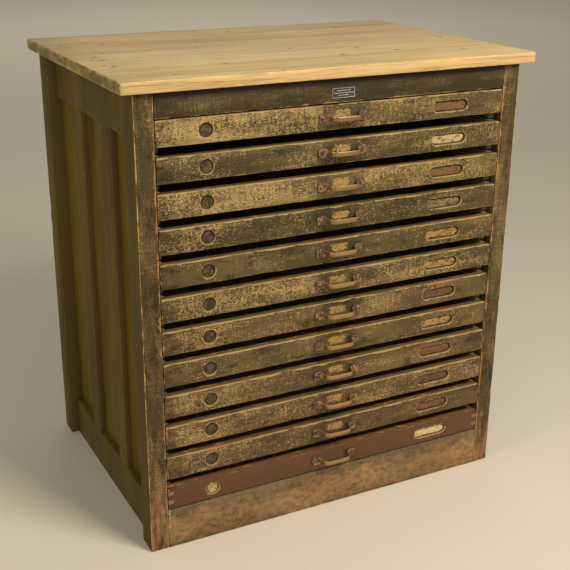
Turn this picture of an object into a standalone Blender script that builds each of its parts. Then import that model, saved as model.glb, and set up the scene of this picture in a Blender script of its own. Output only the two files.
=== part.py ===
"""Cabinet of twelve shallow drawers, a painted wooden frame with a plain board on top.

Each side is a frame of stiles and rails round three recessed panels, held between corner posts
that stand proud of it. Behind each side a runner rack carries the drawers, which slide out to
the front. A drawer is a front board with a bow handle, finger-jointed to a tray.

The origin is on the floor, below the middle of the whole outline. +X is the cabinet's right as
seen from the front, +Y runs to its back and +Z is up. Every size is in metres.
"""

import bmesh
import bpy
from mathutils import Vector

# Overall sizes
BODY_WIDTH = 0.840
BODY_DEPTH = 0.610
CABINET_HEIGHT = 0.953
DRAWER_COUNT = 12

# Clearances
GAP = 0.0003
DRAWER_SIDE_CLEARANCE = 0.0015
DRAWER_EDGE_CLEARANCE = 0.0025
DRAWER_REAR_CLEARANCE = 0.017
LEDGE_CLEARANCE = 0.004

# Top board
BOARD_THICKNESS = 0.022
BOARD_SIDE_OVERHANG = 0.028
BOARD_FRONT_OVERHANG = 0.018
BOARD_REAR_INSET = 0.010
BOARD_CORNER_RADIUS = 0.008

# Front frame and corner posts
POST_DEPTH = 0.051
RAIL_THICKNESS = 0.024
TOP_RAIL_HEIGHT = 0.0487
BOTTOM_RAIL_HEIGHT = 0.0877

# Side frames
SIDE_SETBACK = 0.017
PANEL_RECESS = 0.013
PANEL_THICKNESS = 0.004
STILE_WIDTH = 0.050
SIDE_TOP_RAIL_HEIGHT = 0.098
SIDE_BOTTOM_RAIL_HEIGHT = 0.090
PANEL_COUNT = 3

# Back panel
BACK_INSET = 0.010
BACK_THICKNESS = 0.008

# Runner racks
RACK_BOARD_THICKNESS = 0.0034

# Drawers
DRAWER_GAP = 0.0183
FRONT_THICKNESS = 0.019
TRAY_SIDE_THICKNESS = 0.012
TRAY_BACK_THICKNESS = 0.012
TRAY_BACK_DROP = 0.003
TRAY_BOTTOM_THICKNESS = 0.005
TRAY_BOTTOM_RAISE = 0.003
TRAY_HOUSING_DEPTH = 0.004
FINGER_COUNT = 5

# Recesses in a drawer front
FINGER_HOLE_RADIUS = 0.014
FINGER_HOLE_INSET = 0.097
FINGER_HOLE_DEPTH = 0.004
LABEL_SLOT_WIDTH = 0.083
LABEL_SLOT_HEIGHT = 0.022
LABEL_SLOT_INSET = 0.1285
LABEL_SLOT_DEPTH = 0.0055
ROUND_SEGMENTS = 20

# Bow handle
HANDLE_WIDTH = 0.106
HANDLE_PROJECTION = 0.026
HANDLE_STRAP_THICKNESS = 0.003
HANDLE_STRAP_HEIGHT = 0.0095
HANDLE_FOOT_WIDTH = 0.020
HANDLE_FOOT_HEIGHT = 0.019
HANDLE_BEND_RADIUS = 0.007
HANDLE_BEND_SEGMENTS = 4

# Places that follow from the sizes above. A side's layers are counted inwards from the post's face.
FRONT_Y = (max(HANDLE_PROJECTION, BOARD_FRONT_OVERHANG) - BODY_DEPTH) / 2
FRAME_TOP = CABINET_HEIGHT - BOARD_THICKNESS - GAP
SIDE_FRAME_THICKNESS = PANEL_RECESS + PANEL_THICKNESS
RACK_OUTSIDE = SIDE_SETBACK + SIDE_FRAME_THICKNESS + GAP
POST_WIDTH = RACK_OUTSIDE + RACK_BOARD_THICKNESS + GAP
DRAWER_WIDTH = BODY_WIDTH - 2 * (POST_WIDTH + DRAWER_SIDE_CLEARANCE)
OPENING_LOW = BOTTOM_RAIL_HEIGHT + DRAWER_EDGE_CLEARANCE
OPENING_HIGH = FRAME_TOP - TOP_RAIL_HEIGHT - DRAWER_EDGE_CLEARANCE
DRAWER_PITCH = (OPENING_HIGH - OPENING_LOW + DRAWER_GAP) / DRAWER_COUNT
FRONT_HEIGHT = DRAWER_PITCH - DRAWER_GAP
TRAY_END = BODY_DEPTH - BACK_INSET - BACK_THICKNESS - DRAWER_REAR_CLEARANCE
FINGER_PITCH = FRONT_HEIGHT / FINGER_COUNT


def principled(name, color, roughness, metallic=0.0):
    """A plain material with one colour."""
    material = bpy.data.materials.new(name)
    material.use_nodes = True
    shader = material.node_tree.nodes["Principled BSDF"]
    shader.inputs["Base Color"].default_value = (*color, 1.0)
    shader.inputs["Roughness"].default_value = roughness
    shader.inputs["Metallic"].default_value = metallic
    return material


def mesh_from(name, shape):
    """Turns a bmesh into a mesh with its faces pointing out, and frees it."""
    bmesh.ops.recalc_face_normals(shape, faces=shape.faces)
    mesh = bpy.data.meshes.new(name)
    shape.to_mesh(mesh)
    shape.free()
    return mesh


def add_object(name, mesh, material, location=(0.0, 0.0, 0.0), parent=None):
    """Puts a mesh in the scene as one named piece."""
    if not mesh.materials:
        mesh.materials.append(material)
    piece = bpy.data.objects.new(name, mesh)
    piece.location = location
    piece.parent = parent
    bpy.context.scene.collection.objects.link(piece)
    return piece


def box_shape(low, high):
    """A bmesh box between two corners."""
    low, high = Vector(low), Vector(high)
    shape = bmesh.new()
    bmesh.ops.create_cube(shape, size=1.0)
    bmesh.ops.scale(shape, vec=high - low, verts=shape.verts)
    bmesh.ops.translate(shape, vec=(low + high) / 2, verts=shape.verts)
    return shape


def add_box(name, low, high, material):
    """A box piece whose origin is at its own middle."""
    low, high = Vector(low), Vector(high)
    half = (high - low) / 2
    return add_object(name, mesh_from(name, box_shape(-half, half)), material, low + half)


def extruded(outline, thickness):
    """A flat outline, given as points in order, drawn out along a vector."""
    shape = bmesh.new()
    face = shape.faces.new([shape.verts.new(point) for point in outline])
    drawn = bmesh.ops.extrude_face_region(shape, geom=[face])["geom"]
    moved = [part for part in drawn if isinstance(part, bmesh.types.BMVert)]
    bmesh.ops.translate(shape, vec=thickness, verts=moved)
    return shape


def combined(name, base, tool, operation):
    """The mesh that a Boolean makes of two shapes, which it frees."""
    pieces = []
    for part, shape in (("base", base), ("tool", tool)):
        piece = bpy.data.objects.new(part, mesh_from(part, shape))
        bpy.context.scene.collection.objects.link(piece)
        pieces.append(piece)
    boolean = pieces[0].modifiers.new("Boolean", "BOOLEAN")
    boolean.operation = operation
    boolean.solver = "EXACT"
    boolean.object = pieces[1]
    graph = bpy.context.evaluated_depsgraph_get()
    mesh = bpy.data.meshes.new_from_object(pieces[0].evaluated_get(graph))
    mesh.name = name
    for piece in pieces:
        source = piece.data
        bpy.data.objects.remove(piece)
        bpy.data.meshes.remove(source)
    return mesh


def shape_of(mesh):
    """A bmesh holding a mesh's geometry. The mesh is removed."""
    shape = bmesh.new()
    shape.from_mesh(mesh)
    bpy.data.meshes.remove(mesh)
    return shape


def shaped(shape):
    """One bmesh of several that don't touch."""
    joined = bmesh.new()
    for one in shape:
        mesh = mesh_from("part", one)
        joined.from_mesh(mesh)
        bpy.data.meshes.remove(mesh)
    return joined


def side_x(side, inwards):
    """The X of a plane so far inwards from the outside of the left (-1) or right (1) posts."""
    return side * (BODY_WIDTH / 2 - inwards)


def side_box(name, side, layers, depths, heights, material):
    """A box piece of one side: its layers count inwards from the posts, its depths from the front."""
    xs = sorted(side_x(side, layer) for layer in layers)
    low = (xs[0], FRONT_Y + depths[0], heights[0])
    high = (xs[1], FRONT_Y + depths[1], heights[1])
    return add_box(name, low, high, material)


def add_top_board(material):
    half_width = BODY_WIDTH / 2 + BOARD_SIDE_OVERHANG
    half_depth = (BODY_DEPTH - BOARD_REAR_INSET + BOARD_FRONT_OVERHANG) / 2
    half = Vector((half_width, half_depth, BOARD_THICKNESS / 2))
    shape = box_shape(-half, half)
    upright = [edge for edge in shape.edges if abs(edge.verts[0].co.z - edge.verts[1].co.z) > GAP]
    bmesh.ops.bevel(
        shape, geom=upright, offset=BOARD_CORNER_RADIUS, segments=3, profile=0.5, affect="EDGES"
    )
    place = (0.0, FRONT_Y - BOARD_FRONT_OVERHANG + half_depth, CABINET_HEIGHT - half.z)
    add_object("top_board", mesh_from("top_board", shape), material, place)


def add_posts(material):
    rows = {"front": (0.0, POST_DEPTH), "rear": (BODY_DEPTH - POST_DEPTH, BODY_DEPTH)}
    for row, depths in rows.items():
        for side, hand in ((-1, "left"), (1, "right")):
            name = f"{row}_{hand}_post"
            side_box(name, side, (0.0, POST_WIDTH), depths, (0.0, FRAME_TOP), material)


def add_front_rails(material):
    inner = BODY_WIDTH / 2 - POST_WIDTH - GAP
    rows = {
        "front_top_rail": (FRAME_TOP - TOP_RAIL_HEIGHT, FRAME_TOP),
        "front_bottom_rail": (0.0, BOTTOM_RAIL_HEIGHT),
    }
    for name, (low, high) in rows.items():
        add_box(name, (-inner, FRONT_Y, low), (inner, FRONT_Y + RAIL_THICKNESS, high), material)


def add_side_frame(side, hand, material):
    """The rails, stiles and panels between the two posts of one side."""
    front, rear = POST_DEPTH + GAP, BODY_DEPTH - POST_DEPTH - GAP
    panel_low = SIDE_BOTTOM_RAIL_HEIGHT
    panel_high = FRAME_TOP - SIDE_TOP_RAIL_HEIGHT
    frame = (SIDE_SETBACK, SIDE_SETBACK + SIDE_FRAME_THICKNESS)
    panel = (SIDE_SETBACK + PANEL_RECESS, SIDE_SETBACK + SIDE_FRAME_THICKNESS)
    rails = {"top": (panel_high, FRAME_TOP), "bottom": (0.0, panel_low)}
    for place, heights in rails.items():
        side_box(f"{hand}_side_{place}_rail", side, frame, (front, rear), heights, material)
    clear_depth = BODY_DEPTH - 2 * POST_DEPTH
    panel_width = (clear_depth - (PANEL_COUNT - 1) * STILE_WIDTH) / PANEL_COUNT
    heights = (panel_low + GAP, panel_high - GAP)
    for index in range(PANEL_COUNT):
        start = POST_DEPTH + index * (panel_width + STILE_WIDTH)
        depths = (start + GAP, start + panel_width - GAP)
        side_box(f"{hand}_side_panel_{index + 1}", side, panel, depths, heights, material)
        if index + 1 < PANEL_COUNT:
            depths = (start + panel_width, start + panel_width + STILE_WIDTH)
            side_box(f"{hand}_side_stile_{index + 1}", side, frame, depths, heights, material)


def add_back_panel(material):
    inner = BODY_WIDTH / 2 - POST_WIDTH - GAP
    rear = FRONT_Y + BODY_DEPTH - BACK_INSET
    add_box("back_panel", (-inner, rear - BACK_THICKNESS, 0.0), (inner, rear, FRAME_TOP), material)


def drawer_middle(index):
    """The height of the middle of a drawer front, counted from 0 at the top."""
    return OPENING_HIGH - FRONT_HEIGHT / 2 - index * DRAWER_PITCH


def ledge_outline(side, height):
    """A runner ledge from above: it is wider between the posts than beside them."""
    wide = side_x(side, RACK_OUTSIDE + RACK_BOARD_THICKNESS / 2)
    narrow = side_x(side, POST_WIDTH + GAP)
    inner = side_x(side, POST_WIDTH + DRAWER_SIDE_CLEARANCE + TRAY_SIDE_THICKNESS)
    ends = (RAIL_THICKNESS + GAP, TRAY_END)
    posts = (POST_DEPTH + GAP, BODY_DEPTH - POST_DEPTH - GAP)
    plan = [
        (inner, ends[0]),
        (inner, ends[1]),
        (narrow, ends[1]),
        (narrow, posts[1]),
        (wide, posts[1]),
        (wide, posts[0]),
        (narrow, posts[0]),
        (narrow, ends[0]),
    ]
    return [(x, FRONT_Y + depth, height) for x, depth in plan]


def add_runner_rack(side, hand, material):
    """A thin board against the side frame, with a ledge under every drawer."""
    xs = sorted(side_x(side, layer) for layer in (RACK_OUTSIDE, RACK_OUTSIDE + RACK_BOARD_THICKNESS))
    front, rear = FRONT_Y + POST_DEPTH + GAP, FRONT_Y + BODY_DEPTH - POST_DEPTH - GAP
    board = box_shape((xs[0], front, 0.0), (xs[1], rear, FRAME_TOP))
    ledge_height = DRAWER_GAP - GAP - LEDGE_CLEARANCE
    ledges = []
    for index in range(DRAWER_COUNT):
        top = drawer_middle(index) - FRONT_HEIGHT / 2 - GAP
        ledges.append(extruded(ledge_outline(side, top), (0.0, 0.0, -ledge_height)))
    name = f"{hand}_runner_rack"
    add_object(name, combined(name, board, shaped(ledges), "UNION"), material)


def finger_edges(index):
    """The heights between which one finger of the joint lies, measured from the front's middle."""
    low = index * FINGER_PITCH - FRONT_HEIGHT / 2
    return low, low + FINGER_PITCH


def front_outline():
    """The front board seen from the front, with a notch at each end for every tray finger."""
    end, notch = DRAWER_WIDTH / 2, DRAWER_WIDTH / 2 - TRAY_SIDE_THICKNESS - GAP
    rising = [(end, -FRONT_HEIGHT / 2)]
    for index in range(1, FINGER_COUNT, 2):
        low, high = finger_edges(index)
        rising += [(end, low), (notch, low), (notch, high), (end, high)]
    rising.append((end, FRONT_HEIGHT / 2))
    falling = [(-x, z) for x, z in reversed(rising)]
    return [(x, 0.0, z) for x, z in rising + falling]


def round_recess(radius, half_length, depth):
    """A cutter with a round outline, drawn out sideways to a slot if half_length isn't 0."""
    shape = bmesh.new()
    bmesh.ops.create_circle(shape, cap_ends=True, radius=radius, segments=ROUND_SEGMENTS)
    for vert in shape.verts:
        x, z = vert.co.x, vert.co.y
        vert.co = (x + half_length * ((x > 0) - (x < 0)), -depth, z)
    drawn = bmesh.ops.extrude_face_region(shape, geom=shape.faces[:])["geom"]
    moved = [part for part in drawn if isinstance(part, bmesh.types.BMVert)]
    bmesh.ops.translate(shape, vec=(0.0, 2 * depth, 0.0), verts=moved)
    return shape


def drawer_front_mesh():
    """A front board with a finger hole near its left end and a label slot near its right one."""
    board = extruded(front_outline(), (0.0, FRONT_THICKNESS, 0.0))
    hole = round_recess(FINGER_HOLE_RADIUS, 0.0, FINGER_HOLE_DEPTH)
    bmesh.ops.translate(hole, vec=(FINGER_HOLE_INSET - DRAWER_WIDTH / 2, 0, 0), verts=hole.verts)
    slot_radius = LABEL_SLOT_HEIGHT / 2
    slot = round_recess(slot_radius, LABEL_SLOT_WIDTH / 2 - slot_radius, LABEL_SLOT_DEPTH)
    bmesh.ops.translate(slot, vec=(DRAWER_WIDTH / 2 - LABEL_SLOT_INSET, 0, 0), verts=slot.verts)
    return combined("drawer_front", board, shaped([hole, slot]), "DIFFERENCE")


def tray_side_outline(x):
    """A tray side seen from its end face, with fingers that reach through the front board."""
    start, half = FRONT_THICKNESS + GAP, FRONT_HEIGHT / 2
    points = [(start, -half)]
    for index in range(1, FINGER_COUNT, 2):
        low, high = finger_edges(index)
        low, high = low + GAP, high - GAP
        points += [(start, low), (0.0, low), (0.0, high), (start, high)]
    points += [(start, half), (TRAY_END, half), (TRAY_END, -half)]
    return [(x, depth, z) for depth, z in points]


def drawer_tray_mesh():
    """The sides, back and bottom of a drawer, open to the top and to the front board."""
    outside = DRAWER_WIDTH / 2
    inside = outside - TRAY_SIDE_THICKNESS
    half = FRONT_HEIGHT / 2
    sides = [
        extruded(tray_side_outline(x), (TRAY_SIDE_THICKNESS, 0.0, 0.0)) for x in (-outside, inside)
    ]
    housed = inside + TRAY_HOUSING_DEPTH
    bottom_low = TRAY_BOTTOM_RAISE - half
    back = box_shape(
        (-housed, TRAY_END - TRAY_HOUSING_DEPTH - TRAY_BACK_THICKNESS, bottom_low),
        (housed, TRAY_END - TRAY_HOUSING_DEPTH, half - TRAY_BACK_DROP),
    )
    bottom = box_shape(
        (-housed, FRONT_THICKNESS + GAP, bottom_low - GAP),
        (housed, TRAY_END - 2 * TRAY_HOUSING_DEPTH, bottom_low + TRAY_BOTTOM_THICKNESS),
    )
    walls = combined("walls", shaped(sides), back, "UNION")
    return combined("drawer_tray", shape_of(walls), bottom, "UNION")


def handle_strap():
    """The bent strap of the handle: an arm out from each foot, and the bar between them."""
    outer_x = HANDLE_WIDTH / 2 - HANDLE_FOOT_WIDTH + HANDLE_STRAP_THICKNESS
    inner_x = outer_x - HANDLE_STRAP_THICKNESS
    foot_y = -HANDLE_STRAP_THICKNESS / 2
    bar_y = -HANDLE_PROJECTION
    inner_y = bar_y + HANDLE_STRAP_THICKNESS
    half = HANDLE_STRAP_HEIGHT / 2
    plan = [
        (-outer_x, foot_y),
        (-outer_x, bar_y),
        (outer_x, bar_y),
        (outer_x, foot_y),
        (inner_x, foot_y),
        (inner_x, inner_y),
        (-inner_x, inner_y),
        (-inner_x, foot_y),
    ]
    shape = extruded([(x, y, -half) for x, y in plan], (0.0, 0.0, 2 * half))
    bends = {bar_y: HANDLE_BEND_RADIUS, inner_y: HANDLE_BEND_RADIUS - HANDLE_STRAP_THICKNESS}
    for y, radius in bends.items():
        corners = [
            edge
            for edge in shape.edges
            if all(abs(vert.co.y - y) < GAP for vert in edge.verts)
            and abs(edge.verts[0].co.z - edge.verts[1].co.z) > half
        ]
        bmesh.ops.bevel(
            shape,
            geom=corners,
            offset=radius,
            segments=HANDLE_BEND_SEGMENTS,
            profile=0.5,
            affect="EDGES",
        )
    return shape


def drawer_handle_mesh():
    """A bow handle: a strap on two foot plates, whose backs are a gap off the drawer front."""
    foot_inner = HANDLE_WIDTH / 2 - HANDLE_FOOT_WIDTH
    half = HANDLE_FOOT_HEIGHT / 2
    feet = [
        box_shape(
            (min(side * foot_inner, side * HANDLE_WIDTH / 2), -HANDLE_STRAP_THICKNESS, -half),
            (max(side * foot_inner, side * HANDLE_WIDTH / 2), -GAP, half),
        )
        for side in (-1, 1)
    ]
    mesh = combined("drawer_handle", handle_strap(), shaped(feet), "UNION")
    mesh.shade_smooth()
    mesh.set_sharp_from_angle(angle=0.6)
    return mesh


def add_drawers(front_material, last_front_material, tray_material, handle_material):
    """The drawers, each under an empty at the middle of its front's face, on its line of travel."""
    fronts = drawer_front_mesh()
    trays = drawer_tray_mesh()
    handles = drawer_handle_mesh()
    fronts.materials.append(front_material)
    last_front = fronts.copy()
    last_front.materials[0] = last_front_material
    for index in range(DRAWER_COUNT):
        number = f"{index + 1:02d}"
        slide = bpy.data.objects.new(f"drawer_{number}", None)
        slide.location = (0.0, FRONT_Y, drawer_middle(index))
        bpy.context.scene.collection.objects.link(slide)
        front = last_front if index + 1 == DRAWER_COUNT else fronts
        add_object(f"drawer_front_{number}", front, front_material, parent=slide)
        add_object(f"drawer_tray_{number}", trays, tray_material, parent=slide)
        add_object(f"drawer_handle_{number}", handles, handle_material, parent=slide)


def main():
    for piece in list(bpy.data.objects):
        bpy.data.objects.remove(piece)
    top_wood = principled("worn_pine_top", (0.42, 0.25, 0.11), 0.45)
    frame_paint = principled("olive_frame_paint", (0.13, 0.11, 0.05), 0.45)
    side_paint = principled("olive_side_paint", (0.16, 0.12, 0.05), 0.35)
    front_paint = principled("worn_drawer_paint", (0.24, 0.20, 0.10), 0.5)
    bare_wood = principled("bare_drawer_wood", (0.25, 0.13, 0.07), 0.5)
    inner_wood = principled("unfinished_inner_wood", (0.35, 0.24, 0.13), 0.7)
    steel = principled("aged_handle_steel", (0.32, 0.24, 0.16), 0.4, metallic=0.8)
    add_top_board(top_wood)
    add_posts(frame_paint)
    add_front_rails(frame_paint)
    for side, hand in ((-1, "left"), (1, "right")):
        add_side_frame(side, hand, side_paint)
        add_runner_rack(side, hand, inner_wood)
    add_back_panel(inner_wood)
    add_drawers(front_paint, bare_wood, inner_wood, steel)


main()
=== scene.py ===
"""Looks of the card cabinet: its worn boards, drawers, handles and labels around the fixed frame."""

import collections
import math

import bmesh
import bpy
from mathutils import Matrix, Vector, noise


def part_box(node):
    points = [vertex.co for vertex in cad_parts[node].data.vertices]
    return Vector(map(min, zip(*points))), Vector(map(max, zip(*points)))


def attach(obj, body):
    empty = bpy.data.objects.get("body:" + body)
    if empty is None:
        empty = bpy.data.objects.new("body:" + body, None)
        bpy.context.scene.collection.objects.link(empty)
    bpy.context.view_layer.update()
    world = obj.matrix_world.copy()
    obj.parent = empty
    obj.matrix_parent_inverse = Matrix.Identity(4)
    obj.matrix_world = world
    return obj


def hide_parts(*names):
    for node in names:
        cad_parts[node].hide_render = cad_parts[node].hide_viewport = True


bl_info = {
    "name": "Card cabinet finish",
    "version": (1, 0, 0),
    "blender": (4, 5, 0),
    "location": "View3D > Sidebar > Card Cabinet",
    "description": "Builds the worn boards, drawers and fittings of a card cabinet on its frame",
    "category": "Object",
}

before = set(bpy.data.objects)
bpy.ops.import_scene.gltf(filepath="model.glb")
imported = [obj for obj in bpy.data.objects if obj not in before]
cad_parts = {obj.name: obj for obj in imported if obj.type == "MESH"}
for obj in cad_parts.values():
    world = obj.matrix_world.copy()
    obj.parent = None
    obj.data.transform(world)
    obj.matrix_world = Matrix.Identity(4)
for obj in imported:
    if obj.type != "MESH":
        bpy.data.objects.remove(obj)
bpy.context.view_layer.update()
DRAWER_NUMBERS = sorted(
    node.removeprefix("drawer_front_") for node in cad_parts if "drawer_front_" in node
)
FIRST_FRONT = "drawer_front_01"
CABINET = "cabinet"
POSTS = [f"{row}_{hand}_post" for row in ("front", "rear") for hand in ("left", "right")]
FRONT_RAILS = ["front_top_rail", "front_bottom_rail"]
SIDE_BOARDS = sorted(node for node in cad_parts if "_side_" in node)
BODY_LOW, BODY_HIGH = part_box("front_left_post")[0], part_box("rear_right_post")[1]
FACE_Y = BODY_LOW.y

# Every drawer from the top: how much paint has worn off its left and its right end, how light
# and how brown the paint is, and the card in its label recess.
Drawer = collections.namedtuple("Drawer", "worn_left worn_right shade brown card")
DRAWERS = (
    Drawer(0.80, 0.36, 1.15, 0.00, "russet"),
    Drawer(0.46, 0.42, 1.05, 0.00, "cream"),
    Drawer(0.68, 0.44, 1.35, 0.00, "russet"),
    Drawer(0.54, 0.26, 0.85, 0.00, "olive"),
    Drawer(0.28, 0.38, 1.15, 0.00, "ochre"),
    Drawer(0.66, 0.46, 1.15, 0.00, "ochre"),
    Drawer(0.60, 0.30, 1.15, 0.20, "umber"),
    Drawer(0.36, 0.32, 1.18, 0.08, "ochre"),
    Drawer(0.54, 0.24, 1.15, 0.30, "russet"),
    Drawer(0.58, 0.50, 1.15, 0.35, "umber"),
    Drawer(0.50, 0.20, 0.95, 0.40, "russet"),
    Drawer(0.00, 0.00, 1.00, 1.00, "pale"),
)

# Each kind of card's colour, and how patchy it is.
CARDS = {
    "russet": ((0.210, 0.100, 0.045), 0.50),
    "cream": ((0.560, 0.400, 0.190), 0.85),
    "olive": ((0.240, 0.170, 0.070), 0.85),
    "ochre": ((0.400, 0.240, 0.090), 0.85),
    "umber": ((0.160, 0.084, 0.040), 0.55),
    "pale": ((0.780, 0.550, 0.290), 0.45),
}

# Small sizes of the pieces, in metres.
GAP = 0.0002  # between a piece and what it stands against
JOINT_GAP = 0.0003  # round a joint's fingers and between a tray's boards
FACE_DEPTH = 0.001  # what lies no deeper than this in a drawer front is on its face
RECESS_FILLET = 0.0004  # round the floor of a recess
BEYOND = 0.01  # how far a cutter reaches past what it cuts
WEAR_GRAIN, NICK_GRAIN = 45.0, 24.0  # how fine the worn edges' waves and nicks are, per metre
NICK_START, NICK_DEPTH = 0.34, 3.0  # the more of the first the fewer nicks, of the second the deeper
BOARD_STEP, FRONT_STEP = 0.020, 0.011  # a slice of the top board, and of a drawer front
# A recess's wall and rounded mouth, as steps of how far out of its radius and how deep.
RECESS_MOUTH = ((0.0, 0.0010), (0.0003, 0.0004), (0.0012, -0.0004), (0.0030, -0.0030))
TRAY_ARRIS, TRAY_WEAR, TRAY_STEP = 0.0008, 0.0004, 0.04
TRAY_BACK = (0.016, 0.004)  # from the tray's end to the back board's two faces
TRAY_BACK_EDGES = (0.004, 0.003)  # from the tray's lowest and highest edges to the back board's
TRAY_BOTTOM = (0.003, 0.008)  # from the tray's lowest edge to the bottom board's two faces
TRAY_BOTTOM_GAP = 0.0005  # between the bottom board and the back board
STRAP_FOOT = 0.0195  # a handle's foot, along the strap
STRAP_FOOT_END = 0.0045  # radius of the foot's round end
STRAP_NECK = 0.0035  # where the strap narrows from its foot to its bar
STRAP_BAR_HEIGHT = 0.0046  # half the bar's height
STRAP_BAR_LENGTH = 0.018  # the straight length in the bar's middle
STRAP_EDGE = 0.0006
STRAP_SPACING, STRAP_ROWS = 0.0016, 4  # the strap's mesh, along it and across it
STRAP_MIDDLE = 0.01  # what lies nearer to the middle than this belongs to the bar
STRAP_HEEL = 0.0012  # from the foot's end to the first bend
STRAP_SHOULDER = (0.0030, 0.0016)  # from the foot's end, and from the bar's line, to the second bend
STRAP_BENDS = (0.0, 0.0055, 0.0110, 0.008)  # how far each corner's bend reaches along the strap
STRAP_BEND_STEPS = 8
SCREW_INSET = 0.0088  # from a handle's end to its screw
SCREW_TURNS = ((0.5, 1.3), (2.1, 0.9))  # each slot's angle at the first drawer, and its change per drawer
SCREW_SLOT = (0.0004, 0.0011, 0.004)  # half a slot's width, and how far out it starts and ends
# A screw head's dome, as steps of its share of the radius and how far out.
SCREW_DOME = ((1.0, 0.0), (1.0, 0.0005), (0.92, 0.0010), (0.70, 0.0015), (0.36, 0.0018), (0.08, 0.0019))
CARD_INSET = 0.0012  # between a card and the wall of its recess
CARD_EDGE = 0.0002
CARD_FLOOR_GAP = 0.0001  # between a card and the floor of its recess
PLATE_RIM, PLATE_FIELD = 0.0013, 0.0004  # the rim's width, and how deep the field lies
PLATE_EDGE = 0.0002
PLATE_RISE = 0.385  # the plate's height on the top rail, as a share of the rail's height
PLATE_BARS = ((0.030, 0.0044), (0.036, 0.0), (0.024, -0.0044))  # each bar's width and height on the plate
PLATE_BAR_HALF = 0.0006  # half a bar's height
PLATE_BAR_FACES = (0.0008, 0.00055)  # from the plate's back to a bar's front and back
PLATE_PIN_PLACE = 0.0205
PLATE_PIN = ((0.0011, 0.0), (0.0011, 0.0003), (0.0007, 0.0006), (0.0002, 0.0007))
FLOOR_GAP = 0.0002  # the floor lies this far under the feet


# ---- places on the drawer fronts

# A recess's middle, the radius of its ends, half the length between them, and its floor's place.
Recess = collections.namedtuple("Recess", "place radius half_length floor")


def find_recess(low_share, high_share):
    """A recess of the first drawer front, found between two shares of the front's width."""
    low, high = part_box(FIRST_FRONT)
    width = high.x - low.x
    found = [
        vert.co
        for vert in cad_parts[FIRST_FRONT].data.vertices
        if FACE_DEPTH < vert.co.y - low.y < (high.y - low.y) / 2
        and low_share < (vert.co.x - low.x) / width < high_share
    ]
    near = Vector([min(place[i] for place in found) for i in range(3)])
    far = Vector([max(place[i] for place in found) for i in range(3)])
    size = far - near
    radius = min(size.x, size.z) / 2
    return Recess((near + far) / 2, radius, round(size.x / 2 - radius, 5), far.y)


HOLE = find_recess(0.05, 0.35)
SLOT = find_recess(0.60, 0.95)


# ---- settings


def colour(name, description, default):
    """A colour that a user may change."""
    return bpy.props.FloatVectorProperty(
        name=name, description=description, subtype="COLOR", size=3, min=0, max=1, default=default
    )


def length(name, description, default):
    """A size in metres that a user may change."""
    return bpy.props.FloatProperty(
        name=name, description=description, unit="LENGTH", min=0, default=default, precision=5
    )


class CabinetColours(bpy.types.PropertyGroup):
    """Colours of the finishes."""

    pine: colour("Pine", "Top board, on its face", (0.62, 0.44, 0.19))
    pine_edge: colour("Pine edge", "Top board, along its front edge", (0.66, 0.435, 0.175))
    pine_dark: colour("Pine marks", "Nail holes, knots and dents in the top board", (0.070, 0.034, 0.012))
    end_grain: colour("End grain", "Top board, on its ends", (0.185, 0.130, 0.040))
    end_moss: colour("End stain", "Greenish stain on the top board's ends", (0.36, 0.300, 0.075))
    frame_paint: colour("Frame paint", "Posts and front rails", (0.071, 0.049, 0.018))
    side_paint: colour("Side paint", "Sides of the cabinet", (0.116, 0.078, 0.011))
    drawer_paint: colour("Drawer paint", "Drawer fronts", (0.086, 0.060, 0.020))
    bare_wood: colour("Bare wood", "Wood where the paint has worn off", (0.50, 0.335, 0.130))
    brown_wood: colour("Brown wood", "Handled wood at the foot of the frame", (0.275, 0.142, 0.064))
    rust_wood: colour("Orange wood", "Freshly worn wood along the arrises", (0.46, 0.22, 0.08))
    last_drawer: colour("Last drawer", "Front of the lowest drawer", (0.118, 0.050, 0.018))
    inner_wood: colour("Inner wood", "Trays, runners and back", (0.40, 0.27, 0.14))
    old_paint: colour("Old paint", "Paint left on the bottom rail", (0.066, 0.054, 0.028))
    recess: colour("Recess", "Floors of the recesses", (0.120, 0.080, 0.034))
    rubbed: colour("Rubbed wood", "Wood that fingers have rubbed, behind the handles", (0.34, 0.17, 0.05))
    rubbed_light: colour("Rubbed wood, light", "Its lighter grain", (0.60, 0.38, 0.12))
    chalk: colour("Chalk", "White specks by the left post's foot", (0.62, 0.56, 0.46))
    # Also the colour of painted shade: under the top board, on the recess walls, in the finger holes and
    # round the label cards.
    grime_and_shade: colour("Grime", "Dirt in corners and round the handles", (0.026, 0.017, 0.008))
    brass: colour("Handle bar", "Handles where hands have rubbed them", (0.44, 0.27, 0.12))
    rust: colour("Rust", "Handles where the plating is gone", (0.100, 0.058, 0.044))
    plate: colour("Name plate", "Rim of the name plate", (0.62, 0.60, 0.56))
    enamel: colour("Enamel", "Field of the name plate", (0.03, 0.028, 0.026))
    floor: colour("Floor", "Floor of the stage", (0.78, 0.69, 0.54))


class CabinetSizes(bpy.types.PropertyGroup):
    """Sizes of the worn edges and the small fittings."""

    arris: length("Arris", "Rounding of the frame's edges", 0.0014)
    side_arris: length("Side arris", "Rounding of the side boards' edges", 0.0007)
    front_arris: length("Front arris", "Rounding of the drawer fronts' edges", 0.0022)
    board_arris: length("Board arris", "Rounding of the top board's edges", 0.0028)
    corner: length("Board corner", "Radius of the top board's corners", 0.0080)
    wear: length("Wear", "How far an edge is worn back in places", 0.0009)
    strap: length("Strap", "Thickness of a handle's strap", 0.0026)
    screw: length("Screw", "Radius of a handle's screw heads", 0.0036)
    card: length("Card", "Thickness of a label card", 0.0005)
    plate_width: length("Plate width", "Name plate, from left to right", 0.0490)
    plate_height: length("Plate height", "Name plate, from top to bottom", 0.0190)
    plate_thickness: length("Plate thickness", "Name plate, from front to back", 0.0010)


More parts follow.
